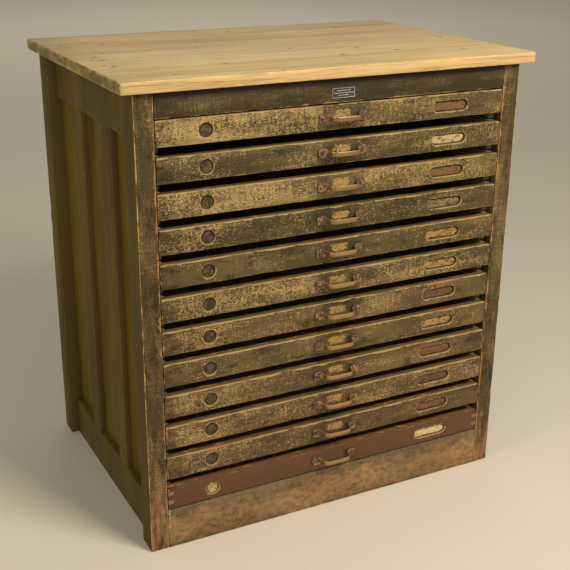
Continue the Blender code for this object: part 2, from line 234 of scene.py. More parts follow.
class StageSettings(bpy.types.PropertyGroup):
    """Camera and light."""

    camera_place: bpy.props.FloatVectorProperty(
        name="Camera", description="Place of the camera", subtype="TRANSLATION",
        default=(-1.0040, FACE_Y - 1.6959, 1.2561),
    )
    camera_turn: bpy.props.FloatVectorProperty(
        name="Camera turn", description="Rotation of the camera", subtype="EULER",
        default=(1.2082, -0.0083, -0.4767),
    )
    lens: bpy.props.FloatProperty(
        name="Lens", description="Focal length in millimetres", default=65.53, min=10
    )
    key: bpy.props.FloatProperty(name="Key light", description="Power in watts", default=89.0, min=0)
    fill: bpy.props.FloatProperty(name="Fill light", description="Power in watts", default=20.0, min=0)
    sky: bpy.props.FloatProperty(name="Sky", description="Strength of the world", default=0.30, min=0)
    floor_light: bpy.props.FloatProperty(
        name="Floor light", description="Power of the light behind, in watts", default=70.0, min=0
    )
    floor_size: length("Floor size", "Side of the floor", 60.0)


# ---- shader graphs


class Socket:
    """A shader socket that takes part in Python arithmetic."""

    def __init__(self, graph, socket):
        self.graph = graph
        self.socket = socket

    def also(self, output):
        """Another output of the same node."""
        return Socket(self.graph, self.socket.node.outputs[output])

    def __add__(self, other):
        return self.graph.maths("ADD", self, other)

    def __sub__(self, other):
        return self.graph.maths("SUBTRACT", self, other)

    def __rsub__(self, other):
        return self.graph.maths("SUBTRACT", other, self)

    def __mul__(self, other):
        return self.graph.maths("MULTIPLY", self, other)

    def __truediv__(self, other):
        return self.graph.maths("DIVIDE", self, other)

    def __pow__(self, other):
        return self.graph.maths("POWER", self, other)

    __radd__ = __add__
    __rmul__ = __mul__

    def size(self):
        return self.graph.maths("ABSOLUTE", self)

    def least(self, other):
        return self.graph.maths("MINIMUM", self, other)

    def most(self, other):
        return self.graph.maths("MAXIMUM", self, other)

    def ramp(self, start, end):
        """0 below start and 1 above end, or the other way round, with a soft change between."""
        settings = {"interpolation_type": "SMOOTHSTEP"}
        values = {"Value": self, "From Min": start, "From Max": end}
        return self.graph.node("ShaderNodeMapRange", settings, values)


class Graph:
    """The nodes of one material."""

    def __init__(self, name):
        self.material = bpy.data.materials.new(name)
        self.material.use_nodes = True
        self.tree = self.material.node_tree
        self.shader = self.tree.nodes["Principled BSDF"]
        self.place = self.node("ShaderNodeTexCoord", output="Object")

    def node(self, kind, settings=None, values=None, output=0):
        """Adds a node, sets it up, links its inputs, and returns one of its outputs."""
        made = self.tree.nodes.new(kind)
        for name, value in (settings or {}).items():
            setattr(made, name, value)
        for key, value in (values or {}).items():
            if isinstance(value, Socket):
                self.tree.links.new(value.socket, made.inputs[key])
            else:
                made.inputs[key].default_value = value
        return Socket(self, made.outputs[output])

    def maths(self, operation, *operands):
        return self.node("ShaderNodeMath", {"operation": operation}, dict(enumerate(operands)))

    def parts(self, vector):
        """The X, Y and Z of a vector."""
        first = self.node("ShaderNodeSeparateXYZ", values={"Vector": vector})
        return first, first.also("Y"), first.also("Z")

    def attribute(self, name):
        return self.node("ShaderNodeAttribute", {"attribute_name": name}, output="Vector")

    def stretched(self, scale, shift=0.0):
        """The place on the object, scaled by one number or by its own along each axis."""
        scale = scale if isinstance(scale, tuple) else (scale,) * 3
        values = {"Vector": self.place, "Scale": scale, "Location": (shift,) * 3}
        return self.node("ShaderNodeMapping", values=values)

    def noise(self, scale, detail=3.0, roughness=0.55, shift=0.0, bend=0.0):
        """Soft noise between 0 and 1 whose grain is one over scale, in metres."""
        values = {
            "Vector": self.stretched(scale, shift),
            "Scale": 1.0,
            "Detail": detail,
            "Roughness": roughness,
            "Distortion": bend,
        }
        return self.node("ShaderNodeTexNoise", values=values)

    def spots(self, scale, radius, share, shift=0.0):
        """Scattered soft spots on the level plane: of all cells only this share holds one."""
        settings = {"voronoi_dimensions": "2D"}
        values = {"Vector": self.stretched(scale, shift), "Scale": 1.0, "Randomness": 1.0}
        distance = self.node("ShaderNodeTexVoronoi", settings, values)
        chance = self.parts(distance.also("Color"))[0]
        return distance.ramp(radius, radius * 0.5) * chance.ramp(share, share - 0.02)

    def mix(self, factor, first, second):
        """Goes from the first colour to the second as factor goes from 0 to 1."""
        settings = {"data_type": "RGBA"}
        values = {0: factor, 6: self.rgba(first), 7: self.rgba(second)}
        return self.node("ShaderNodeMix", settings, values, output=2)

    @staticmethod
    def rgba(value):
        return value if isinstance(value, Socket) else (*value, 1.0)

    def scaled(self, tint, amount):
        """A colour made lighter or darker."""
        values = {0: tint, "Scale": amount}
        return self.node("ShaderNodeVectorMath", {"operation": "SCALE"}, values)

    def edges(self):
        """The distance to the board's nearest arris, and those to its low and high faces."""
        low = self.parts(self.attribute("near_low"))
        high = self.parts(self.attribute("near_high"))
        x, y, z = (a.least(b) for a, b in zip(low, high))
        arris = x.least(y).most(x.most(y).least(z))
        return arris, low, high

    def finish(self, tint, roughness, relief=None, metallic=0.0, specular=0.5):
        """Feeds the shader and returns the material. Relief is a height, a strength and a distance."""
        values = {"Base Color": tint, "Roughness": roughness, "Metallic": metallic}
        values["Specular IOR Level"] = specular
        if relief:
            bump = dict(zip(("Height", "Strength", "Distance"), relief))
            values["Normal"] = self.node("ShaderNodeBump", values=bump)
        for name, value in values.items():
            socket = self.shader.inputs[name]
            if isinstance(value, Socket):
                self.tree.links.new(value.socket, socket)
            else:
                socket.default_value = value
        return self.material


def along(axis, fine, coarse):
    """A noise scale that is fine across a board and coarse along its grain."""
    scale = [fine, fine, fine]
    scale[axis] = coarse
    return tuple(scale)


# ---- finishes


def pine_finish(colours):
    """Waxed softwood: soft bands of grain, short dark marks, and greyer, dirtier ends."""
    graph = Graph("worn_pine_top")
    arris, low, high = graph.edges()
    bands = graph.noise((1.6, 34.0, 34.0), 4.0, 0.6, bend=0.5)
    fibre = graph.noise((14.0, 420.0, 420.0), 3.0, 0.6)
    cloud = graph.noise((5.0, 8.0, 8.0), 4.0, 0.55, shift=3.0)
    warm = graph.noise((4.0, 11.0, 11.0), 3.0, 0.5, shift=21.0)
    red, green, blue = colours.pine
    top = graph.mix(bands.ramp(0.40, 0.64), colours.pine, (red * 0.80, green * 0.76, blue * 0.72))
    top = graph.mix(warm.ramp(0.54, 0.68) * 0.55, top, (red, green * 0.88, blue * 0.66))
    top = graph.scaled(top, 0.62 + fibre * 0.28 + cloud * 0.48)
    dirty = low[0].ramp(0.11, 0.0) * (cloud + fibre * 0.3).ramp(0.50, 0.70)
    top = graph.mix(dirty * 0.45, top, colours.end_grain * 1.6)
    streaks = graph.noise((7.0, 60.0, 240.0), 5.0, 0.68, shift=31.0)
    edge = graph.mix(streaks.ramp(0.46, 0.64), colours.pine_edge, colours.pine_edge * 0.64)
    edge = graph.scaled(edge, 0.70 + fibre * 0.60)
    tint = graph.mix(low[1].ramp(0.0045, 0.0010), top, edge)
    chipped = graph.noise((26.0, 60.0, 90.0), 4.0, 0.65, shift=6.0)
    rub = (arris + chipped * 0.022 - 0.0105).ramp(0.0034, 0.0004)
    tint = graph.mix(rub * 0.55, tint, colours.pine_edge * 1.25)
    tint = pine_ends(graph, tint, low, high, rub, colours)
    corner = low[0].ramp(0.16, 0.12)
    marks = graph.spots((15.0, 22.0, 1.0), 0.095, 0.12)
    marks = marks.most(graph.spots((24.0, 34.0, 1.0), 0.125, 0.30, shift=5.0) * corner)
    dents = graph.spots((40.0, 80.0, 1.0), 0.20, 0.06, shift=2.0)
    halo = graph.spots((15.0, 22.0, 1.0), 0.24, 0.12)
    face = high[2].ramp(0.0016, 0.0006)
    tint = graph.mix(halo * face * 0.28, tint, colours.pine_edge * 0.45)
    tint = graph.mix(marks.most(dents * 0.60) * face * 0.92, tint, colours.pine_dark)
    height = fibre * 0.5 + bands * 0.3 - (marks * 0.8 + dents * 0.5) * face
    rough = 0.42 + fibre * 0.22
    return graph.finish(tint, rough, (height, 0.35, 0.0008), specular=0.3)


def pine_ends(graph, tint, low, high, rub, colours):
    """Darkens the board's two sawn ends and stains them green."""
    end = low[0].least(high[0]).ramp(0.0040, 0.0008)
    moss = graph.noise((60.0, 17.0, 40.0), 5.0, 0.62, shift=5.0)
    rings = graph.noise((300.0, 70.0, 300.0), 4.0, 0.6, shift=7.0)
    end_tint = graph.mix(moss.ramp(0.44, 0.60), colours.end_grain, colours.end_moss)
    end_tint = graph.scaled(end_tint, 0.55 + rings * 0.9)
    pale = colours.pine_edge * 0.8
    end_tint = graph.mix(rub * 0.7, end_tint, pale)
    patch = graph.noise((60.0, 30.0, 60.0), 4.0, 0.65, shift=11.0).ramp(0.60, 0.68)
    end_tint = graph.mix(patch * 0.6, end_tint, pale)
    return graph.mix(end, tint, end_tint)


class Wear:
    """The fields that say where paint has gone from a board whose grain runs along an axis."""

    def __init__(self, graph, axis, shift=0.0, fine=1.0):
        self.graph = graph
        self.flake = graph.noise(along(axis, 540.0 * fine, 240.0 * fine), 5.0, 0.70, shift)
        self.grit = graph.noise(along(axis, 1100.0, 700.0), 2.0, 0.6, shift + 1.0)
        self.patch = graph.noise(along(axis, 30.0, 9.0), 4.0, 0.6, shift + 2.0)
        self.streak = graph.noise(along(axis, 200.0, 15.0), 4.0, 0.6, shift + 3.0)
        self.chip = graph.noise(along(axis, 60.0, 34.0), 5.0, 0.72, shift + 4.0)
        self.fibre = graph.noise(along(axis, 420.0, 16.0), 3.0, 0.6, shift + 5.0)
        self.smear = graph.noise(along(axis, 34.0, 190.0), 4.0, 0.62, shift + 6.0)

    def bare(self, amount):
        """1 where the paint has gone, for an amount of wear from about 0 to 1."""
        score = self.flake * 0.70 + self.grit * 0.26 + self.patch * 0.30
        score = score + self.streak * 0.22 + self.smear * 0.20
        return (score + amount * 0.26).ramp(0.978, 1.020)

    def arris(self, distance, reach, share=0.0):
        """1 on the arrises, in a broken line that reaches further in at some places."""
        return (distance + self.chip * reach * 9.0 - reach * (4.45 + share)).ramp(reach, reach * 0.3)

    def wood(self, first, second):
        tint = self.graph.mix(self.streak.ramp(0.42, 0.60), first, second)
        return self.graph.scaled(tint, 0.34 + self.fibre * 0.46 + self.grit * 0.60 + self.smear * 0.30)


def frame_paint(graph, wear, tone, light, colours):
    """The frame's olive paint, in two mottled shades."""
    paint = graph.mix(wear.patch.ramp(0.44, 0.60), colours.frame_paint, colours.frame_paint * light)
    return graph.scaled(paint, 0.45 + tone * 0.45 + wear.grit * 0.65)


def post_foot(graph, wear, height, paint, colours):
    """Wears a post's paint down to stained brown wood at its foot; also where, and how low it is."""
    brown = wear.wood(colours.brown_wood * 1.05, colours.brown_wood * 0.48)
    stain = graph.noise((34.0, 34.0, 16.0), 5.0, 0.65, shift=61.0).ramp(0.47, 0.58)
    brown = graph.mix(stain * 0.62, brown, colours.grime_and_shade * 1.5)
    foot = height.ramp(0.27, 0.03)
    score = wear.chip * 0.60 + wear.patch * 0.50 + wear.flake * 0.30 + foot * 0.42
    bare = score.ramp(0.915, 1.02)
    return graph.mix(bare, paint, brown), bare, foot


def post_arrises(graph, wear, height, arris, tint, colours):
    """Rubs a post's arrises: a thin pale line, and a broad rusty one beside the drawers."""
    bright = graph.mix(wear.chip.ramp(0.44, 0.56), colours.rust_wood, colours.bare_wood)
    line = graph.mix(wear.chip.ramp(0.42, 0.52), colours.bare_wood * 1.3, bright)
    tint = graph.mix(wear.arris(arris, 0.0008, 1.1) * 0.75, tint, line)
    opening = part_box(FIRST_FRONT)[1].z
    beside = height.ramp(opening + 0.002, opening - 0.006)
    inner_line = graph.scaled(bright, 0.50 + wear.grit * 0.7)
    return graph.mix(wear.arris(near_drawers(graph), 0.0040) * beside * 0.75, tint, inner_line)


def frame_finish(colours):
    """Old olive paint on the front posts, worn to brown wood low down and at the arrises."""
    graph = Graph("olive_frame_paint")
    arris, _, high = graph.edges()
    x, _, height = graph.parts(graph.place)
    wear = Wear(graph, 2, fine=1.25)
    tone = graph.noise(7.0, 3.0, 0.5, shift=9.0)
    paint = frame_paint(graph, wear, tone, 1.55, colours)
    tint, bare_foot, foot = post_foot(graph, wear, height, paint, colours)
    fleck = wear.bare(0.36 + foot * 0.10)
    tint = graph.mix(fleck * 0.60, tint, wear.wood(colours.bare_wood, colours.bare_wood * 0.7))
    dirt = graph.noise(along(2, 60.0, 20.0), 5.0, 0.65, shift=14.0).ramp(0.55, 0.64)
    tint = graph.mix(dirt * 0.60, tint, colours.grime_and_shade)
    outer = x.size().ramp(BODY_HIGH.x - 0.0016, BODY_HIGH.x - 0.0006)
    outer = outer.most(high[1].ramp(0.0016, 0.0006))
    tint = graph.mix(outer, tint, side_paint(graph, wear, colours)[0])
    tint = post_arrises(graph, wear, height, arris, tint, colours)
    relief = wear.grit * 0.4 - fleck * 0.5 - bare_foot * 0.4 + wear.fibre * 0.25
    rough = 0.42 + bare_foot * 0.2 + wear.grit * 0.16
    return graph.finish(tint, rough, (relief, 0.5, 0.0007), specular=0.1)


def near_drawers(graph):
    """The distance from a post's front arris that faces the drawers."""
    x, y, _ = graph.parts(graph.place)
    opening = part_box(FIRST_FRONT)[1].x
    return (x.size() - opening).size().most(y - FACE_Y)


def top_rail_tint(graph, wear, tone, fleck, low, high, colours):
    """Dark olive paint with flecks of bare wood, and a painted shadow under the top board."""
    paint = graph.scaled(frame_paint(graph, wear, tone, 1.5, colours), 0.64)
    tint = graph.mix(fleck * 0.62, paint, wear.wood(colours.bare_wood, colours.bare_wood * 0.7))
    tint = graph.mix(wear.arris(low[2].most(low[1]), 0.0016) * 0.65, tint, colours.bare_wood)
    # Painted shadow: the rail's top is darkened where the top board above would shade it.
    return graph.mix(high[2].ramp(0.017, 0.009) * 0.85, tint, colours.grime_and_shade)


def bottom_rail_tint(graph, wear, tone, fleck, low, high, colours):
    """Rusty brown wood with some paint left, chalk at the left end and dirt along the floor."""
    brown = graph.mix(tone.ramp(0.40, 0.60), colours.brown_wood * 1.18, colours.brown_wood * 0.72)
    mottle = graph.noise((70.0, 90.0, 110.0), 6.0, 0.72, shift=51.0).ramp(0.34, 0.64)
    brown = graph.scaled(brown, 0.04 + wear.fibre * 0.40 + wear.grit * 0.56 + mottle * 0.76)
    left = wear.chip * 0.75 + wear.flake * 0.45 + wear.patch * 0.35 - high[2] * 6.2
    old_paint = graph.scaled(colours.old_paint, 0.5 + wear.grit)
    brown = graph.mix(left.ramp(0.56, 0.70) * 0.80, brown, old_paint)
    tint = graph.mix(fleck * 0.32, brown, colours.bare_wood * 0.9)
    wet = graph.noise(30.0, 4.0, 0.6, shift=19.0)
    tint = graph.mix(low[2].ramp(0.012, 0.0) * wet.ramp(0.40, 0.60) * 0.7, tint, colours.grime_and_shade)
    chalk = low[0].ramp(0.0050, 0.0025) * high[2].ramp(0.052, 0.036) * chalk_dots(graph)
    return graph.mix(chalk * 0.85, tint, colours.chalk)


def chalk_dots(graph):
    return graph.noise(300.0, 2.0, 0.5, shift=6.0).ramp(0.50, 0.56)


def rail_finish(name, rail_tint, worn, colours):
    """A front rail in one of the two tints above, with this much of it worn to bare flecks."""
    graph = Graph(name)
    _, low, high = graph.edges()
    wear = Wear(graph, 0, 30.0, 1.2)
    tone = graph.noise((5.0, 9.0, 12.0), 4.0, 0.55, shift=9.0)
    fleck = wear.bare(worn)
    tint = rail_tint(graph, wear, tone, fleck, low, high, colours)
    relief = wear.grit * 0.4 - fleck * 0.5 + wear.fibre * 0.25
    rough = 0.46 + wear.grit * 0.2
    return graph.finish(tint, rough, (relief, 0.5, 0.0007), specular=0.2)


def side_paint(graph, wear, colours):
    """The colour of the sides' paint, with painted light on the sunk panels, and the brush marks and soft
    clouds in it.
    """
    brush = graph.noise((260.0, 260.0, 5.0), 3.0, 0.6)
    cloud = graph.noise((14.0, 14.0, 2.5), 4.0, 0.55, shift=3.0)
    paint = colours.side_paint
    tint = graph.mix(cloud.ramp(0.38, 0.64), paint * 0.78, paint * 1.18)
    tint = graph.scaled(tint, 0.80 + brush * 0.26 + wear.grit * 0.14)
    streak = graph.noise((80.0, 80.0, 3.2), 4.0, 0.6, shift=11.0).ramp(0.60, 0.74)
    tint = graph.mix(streak * 0.45, tint, paint * 1.9)
    # Painted light: the sunk panels are made lighter, to offset the shade that falls in them.
    sunk_painted_light = graph.parts(graph.place)[0].size().ramp(BODY_HIGH.x - 0.016, BODY_HIGH.x - 0.020)
    return graph.scaled(tint, 0.90 + sunk_painted_light * 0.30), brush, cloud


def side_finish(colours):
    """Smooth olive-brown gloss paint with upright brush marks, thin spots and a few chips."""
    graph = Graph("olive_side_paint")
    arris, low, high = graph.edges()
    height = graph.parts(graph.place)[2]
    wear = Wear(graph, 2, 50.0)
    tint, brush, cloud = side_paint(graph, wear, colours)
    # Painted light: the faces that look along Y, such as the walls beside the sunk panels, get a greyer,
    # lighter tint that stands in for how light falls on them.
    walls = low[1].least(high[1]).ramp(0.0018, 0.0006)
    tint = graph.mix(walls * 0.70, tint, colours.frame_paint * 2.2)
    rubbed = graph.noise((40.0, 40.0, 11.0), 4.0, 0.65, shift=17.0).ramp(0.60, 0.70)
    tint = graph.mix(rubbed * wear.flake.ramp(0.50, 0.60) * 0.5, tint, colours.side_paint * 2.4)
    tint = graph.mix(wear.arris(arris, 0.0009) * 0.55, tint, colours.bare_wood * 0.6)
    foot = height.ramp(0.13, 0.0) * wear.patch.ramp(0.46, 0.60)
    tint = graph.mix(foot * 0.35, tint, colours.brown_wood * 0.70)
    relief = brush * 0.5 + wear.grit * 0.12
    rough = 0.32 + cloud * 0.14 + wear.grit * 0.06
    return graph.finish(tint, rough, (relief, 0.22, 0.0005), specular=0.05)


class FrontMarks:
    """Distances on a drawer front to its two recesses and its handle."""

    def __init__(self, graph):
        low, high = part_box(FIRST_FRONT)
        self.arris, near, far = graph.edges()
        self.left, self.depth, up = near
        self.right, _, self.top = far
        self.rise = up - (high.z - low.z) / 2
        self.hole = self.radial(self.left - (HOLE.place.x - low.x), self.rise, 0.0)
        self.slot = self.radial(self.left - (SLOT.place.x - low.x), self.rise, SLOT.half_length)
        self.middle = (self.left - (high.x - low.x) / 2).size()
        # Distance from a point below and right of the finger hole's middle, which places the hole's
        # painted shadow at its upper left.
        self.shadow_crescent = self.radial(self.left - (HOLE.place.x - low.x) - 0.0035, self.rise + 0.0035, 0.0)

    @staticmethod
    def radial(across, up, half_length):
        """The distance from a point, or from a line that reaches half_length either way."""
        beyond = (across.size() - half_length).most(0.0)
        return (beyond * beyond + up * up) ** 0.5


def drawer_finish(number, colours):
    """Olive paint on a drawer front, speckled and rubbed through to pale wood."""
    drawer = DRAWERS[number]
    graph = Graph(f"worn_drawer_paint_{number + 1:02d}")
    marks = FrontMarks(graph)
    wear = Wear(graph, 0, 0.0)
    tone = graph.noise((8.0, 12.0, 26.0), 4.0, 0.55, shift=9.0)
    olive = Vector(colours.drawer_paint).lerp(Vector(colours.brown_wood * 0.55), drawer.brown)
    olive *= drawer.shade
    paint = graph.mix(tone.ramp(0.42, 0.60), olive * 0.82, olive * 1.25)
    paint = graph.scaled(paint, 0.42 + wear.grit * 0.76 + wear.patch * 0.40)
    dark = graph.noise((17.0, 40.0, 48.0), 5.0, 0.68, shift=33.0)
    corner = marks.left.ramp(0.055, 0.0)
    paint = graph.mix((dark + corner * 0.09).ramp(0.55, 0.64) * 0.65, paint, colours.grime_and_shade)
    share = marks.left / (marks.left + marks.right)
    worn = share * (drawer.worn_right - drawer.worn_left) + drawer.worn_left
    bare = wear.bare(worn - 0.045 - marks.left.ramp(0.05, 0.0) * 0.25)
    strength = 0.64 + 0.34 * (drawer.worn_left + drawer.worn_right) / 2
    wood = wear.wood(colours.bare_wood * 1.12, colours.bare_wood * 0.72)
    tint = graph.mix(bare * strength, paint, wood)
    scratch = graph.noise((380.0, 60.0, 34.0), 3.0, 0.6, shift=41.0).ramp(0.63, 0.69)
    tint = graph.mix(scratch * tone.ramp(0.50, 0.58) * 0.5, tint, colours.bare_wood * 0.85)
    tint = handle_wear(graph, marks, wear, tint, colours)
    rub = wear.arris(marks.top, 0.0015, 0.7).most(wear.arris(marks.arris, 0.0013))
    bright = graph.mix(wear.patch.ramp(0.50, 0.64), colours.bare_wood * 0.95, colours.rust_wood)
    tint = graph.mix(rub * 0.85, tint, bright)
    tint = recesses(graph, marks, tint, colours, last=False)
    tint = board_edges(graph, marks, wear, tint, colours.drawer_paint, colours)
    relief = wear.grit * 0.45 - bare * 0.5 - rub * 0.3 + wear.fibre * 0.2
    rough = 0.44 + bare * 0.16 + wear.grit * 0.16
    return graph.finish(tint, rough, (relief, 0.5, 0.0007), specular=0.2)


def handle_wear(graph, marks, wear, tint, colours):
    """Grime round a handle's feet, and wood rubbed ochre by the fingers behind its bar."""
    near = marks.middle.ramp(0.085, 0.030)
    halo = (near * 0.22 + wear.chip * 0.6 + wear.flake * 0.4).ramp(0.60, 0.74)
    tint = graph.mix(halo * 0.60, tint, colours.grime_and_shade)
    behind = marks.middle.ramp(0.034, 0.012) * marks.rise.ramp(-0.014, 0.003)
    behind = behind * marks.top.ramp(0.006, 0.013)
    picked = (behind * 0.34 + wear.flake * 0.75 + wear.chip * 0.35).ramp(0.80, 0.90)
    below = marks.middle.ramp(0.06, 0.02) * marks.rise.ramp(-0.004, -0.014)
    drip = (below * 0.20 + wear.flake * 0.75 + wear.chip * 0.35).ramp(0.80, 0.90)
    ochre = graph.mix(wear.grit.ramp(0.42, 0.58), colours.rubbed, colours.rubbed_light)
    return graph.mix(picked.most(drip * 0.7) * 0.88, tint, ochre)


def board_edges(graph, marks, wear, tint, base, colours):
    """Dusty paint and bare wood on a drawer front's top, bottom and ends, behind its face."""
    body = marks.depth.ramp(0.0020, 0.0044) * (1 - inside(marks))
    dusty = Vector(base).lerp(Vector(colours.bare_wood), 0.12)
    raw = graph.mix(wear.chip.ramp(0.54, 0.66), dusty, colours.rust_wood * 0.9)
    raw = graph.scaled(raw, 0.50 + wear.fibre * 0.80 + wear.grit * 0.40)
    return graph.mix(body, tint, raw)


def inside(marks):
    """1 on the walls and floor of either recess of a drawer front."""
    hole = marks.hole.ramp(HOLE.radius + 0.0012, HOLE.radius + 0.0002)
    slot = marks.slot.ramp(SLOT.radius + 0.0012, SLOT.radius + 0.0002)
    return hole.most(slot)


def recesses(graph, marks, tint, colours, last):
    """Adds the recesses' stained insides and the pale ring rubbed round each mouth, with a painted
    highlight along the ring's bottom, painted shade on the walls and a painted shadow in the finger hole.
    """
    wood = colours.bare_wood * 1.3 if last else colours.recess
    grain = graph.noise((90.0, 120.0, 420.0), 4.0, 0.65, shift=12.0)
    stain = graph.noise(130.0, 4.0, 0.65, shift=23.0)
    floor = graph.mix(stain.ramp(0.42, 0.58), wood, wood * 0.42)
    floor = graph.scaled(floor, 0.45 + grain * 1.1)
    ring = graph.noise(110.0, 4.0, 0.65, shift=15.0)
    for distance, radius in ((marks.hole, HOLE.radius), (marks.slot, SLOT.radius)):
        # Painted highlight: the pale rubbed ring is widened along the bottom of each mouth, where light
        # would catch it.
        lower = marks.rise.ramp(radius * 0.6, -radius)
        near = (distance - radius).size()
        rim = (near + ring * 0.014 - 0.0062 - lower * 0.0014).ramp(0.0022, 0.0007)
        tint = graph.mix(rim * 0.75, tint, colours.bare_wood * 0.95)
        well = distance.ramp(radius + 0.0002, radius - 0.0006) * marks.depth.ramp(0.0008, 0.0020)
        tint = graph.mix(well, tint, floor)
        if distance is marks.hole:
            # Painted shadow in the upper left of the finger hole.
            shadow = well * marks.shadow_crescent.ramp(radius * 0.80, radius * 1.10)
            tint = graph.mix(shadow * 0.80, tint, colours.grime_and_shade)
        # Painted shade on the walls of the recesses.
        wall = near.ramp(0.0012, 0.0005) * marks.depth.ramp(0.0012, 0.0022)
        tint = graph.mix(wall * 0.75, tint, colours.grime_and_shade)
    return tint


def last_drawer_finish(colours):
    """Reddish-brown stained wood on the lowest drawer front."""
    graph = Graph("bare_drawer_wood")
    marks = FrontMarks(graph)
    wear = Wear(graph, 0, 70.0)
    fibre = graph.noise((18.0, 400.0, 460.0), 3.0, 0.6)
    cloud = graph.noise((6.0, 20.0, 26.0), 4.0, 0.6, shift=4.0)
    tint = graph.scaled(colours.last_drawer, 0.62 + fibre * 0.36 + cloud * 0.40)
    tint = graph.mix(wear.arris(marks.arris, 0.0011) * 0.5, tint, colours.bare_wood * 0.7)
    tint = graph.mix(marks.left.ramp(0.0026, 0.0012) * chalk_dots(graph) * 0.8, tint, colours.chalk)
    joint = marks.left.least(marks.right).ramp(0.0130, 0.0115)
    tint = graph.mix(joint * 0.30, tint, colours.grime_and_shade)
    scratch = graph.noise((420.0, 30.0, 12.0), 2.0, 0.5, shift=8.0).ramp(0.68, 0.74)
    tint = graph.mix(scratch * 0.30, tint, colours.bare_wood)
    tint = recesses(graph, marks, tint, colours, last=True)
    tint = board_edges(graph, marks, wear, tint, colours.last_drawer, colours)
    halo = marks.middle.ramp(0.080, 0.040) * marks.rise.ramp(0.012, -0.010) * wear.chip.ramp(0.40, 0.60)
    tint = graph.mix(halo * 0.5, tint, colours.grime_and_shade)
    return graph.finish(tint, 0.42 + fibre * 0.18, (fibre, 0.2, 0.0005), specular=0.3)


def inner_finish(colours, name="inner_wood", axis=1):
    """Unpainted inner wood with its grain along an axis."""
    graph = Graph(name)
    fibre = graph.noise(along(axis, 260.0, 14.0), 3.0, 0.6)
    cloud = graph.noise(10.0, 4.0, 0.6, shift=3.0)
    bands = graph.noise(along(axis, 60.0, 3.0), 3.0, 0.6, shift=6.0)
    tint = graph.mix(bands.ramp(0.40, 0.64), colours.inner_wood, colours.inner_wood * 0.62)
    tint = graph.scaled(tint, 0.60 + fibre * 0.50 + cloud * 0.28)
    stain = graph.noise(24.0, 4.0, 0.6, shift=9.0).ramp(0.58, 0.74)
    tint = graph.mix(stain * 0.45, tint, colours.grime_and_shade)
    return graph.finish(tint, 0.62 + fibre * 0.2, (fibre, 0.3, 0.0006), specular=0.3)


def steel_finish(name, colours, polish=1.0):
    """Old plated steel: rusty feet, and a bar that hands have rubbed to a brassy brown, with a painted
    highlight along its top and painted shade along its bottom.
    """
    graph = Graph(name)
    _, low, high = graph.edges()
    rise = (low[2] - high[2]) / 2
    blot = graph.noise(150.0, 4.0, 0.62)
    speck = graph.noise(900.0, 3.0, 0.6, shift=3.0)
    depth = graph.parts(graph.place)[1]
    proud = depth.ramp(FACE_Y - 0.003, FACE_Y - 0.012)
    rust = (blot + speck * 0.25 - proud * 0.22).ramp(0.50, 0.68)
    tint = graph.mix(rust, colours.brass, colours.rust)
    tint = graph.scaled(tint, (0.66 + speck * 0.60) * polish)
    # Painted highlight along the top of the bar, and painted shade along its bottom.
    tint = graph.mix(proud * rise.ramp(0.0022, 0.0042) * 0.8, tint, colours.brass * 1.75)
    tint = graph.mix(proud * rise.ramp(-0.0014, -0.0042) * 0.6, tint, colours.brass * 0.28)
    rough = 0.30 + rust * 0.26 + speck * 0.14
    metal = 0.90 - rust * 0.50
    return graph.finish(tint, rough, (blot + speck * 0.4, 0.25, 0.0004), metal)


def card_finish(name, tint, patchy, colours):
    """Old card or leatherette in a label recess, torn and stained, with painted shade along its edges,
    deepest at the top.
    """
    graph = Graph(f"label_card_{name}")
    marks = FrontMarks(graph)
    fibre = graph.noise((300.0, 300.0, 420.0), 4.0, 0.65)
    cloud = graph.noise((70.0, 70.0, 120.0), 5.0, 0.66, shift=4.0)
    shade = graph.scaled(tint, 0.40 + fibre * 0.70 + cloud * 0.50)
    stain = (cloud + fibre * 0.25).ramp(0.58, 0.72)
    shade = graph.mix(stain * patchy, shade, Vector(tint) * 0.22)
    # Painted shade: the card is darkened near its edge, more at the top, where the recess's wall would
    # shade it.
    above = marks.rise.ramp(0.0, 0.009)
    rim = marks.slot + cloud * 0.005 + above * 0.0025
    rim = rim.ramp(SLOT.radius - 0.0012, SLOT.radius + 0.0020)
    shade = graph.mix(rim * 0.85, shade, colours.grime_and_shade)
    return graph.finish(shade, 0.7 + fibre * 0.15, (fibre, 0.3, 0.0004), specular=0.2)


def plate_finish(name, tint, metallic, wear_tint):
    """A small metal plate, scratched and dulled."""
    graph = Graph(name)
    scratch = graph.noise((60.0, 60.0, 900.0), 3.0, 0.6)
    blot = graph.noise(400.0, 3.0, 0.6, shift=4.0)
    shade = graph.mix(blot.ramp(0.52, 0.70), tint, wear_tint)
    shade = graph.scaled(shade, 0.7 + scratch * 0.6)
    return graph.finish(shade, 0.3 + blot * 0.3, (scratch, 0.15, 0.0002), metallic)


def floor_finish(colours):
    """A plain pale floor."""
    graph = Graph("stage_floor")
    cloud = graph.noise(0.8, 2.0, 0.5)
    tint = graph.scaled(colours.floor, 0.97 + cloud * 0.06)
    return graph.finish(tint, 0.60 + cloud * 0.05, specular=0.2)


# ---- shapes


def add_piece(name, shape, materials, body, replaced=(), angle=0.6):
    """Turns a bmesh into a finished piece that rides on a body, in place of one of its name."""
    if name in bpy.data.objects:
        bpy.data.objects.remove(bpy.data.objects[name])
    bmesh.ops.recalc_face_normals(shape, faces=shape.faces)
    mesh = bpy.data.meshes.new(name)
    shape.to_mesh(mesh)
    shape.free()
    for material in materials:
        mesh.materials.append(material)
    mesh.shade_smooth()
    mesh.set_sharp_from_angle(angle=angle)
    piece = bpy.data.objects.new(name, mesh)
    bpy.context.scene.collection.objects.link(piece)
    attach(piece, body)
    if replaced:
        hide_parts(*replaced)
    return piece


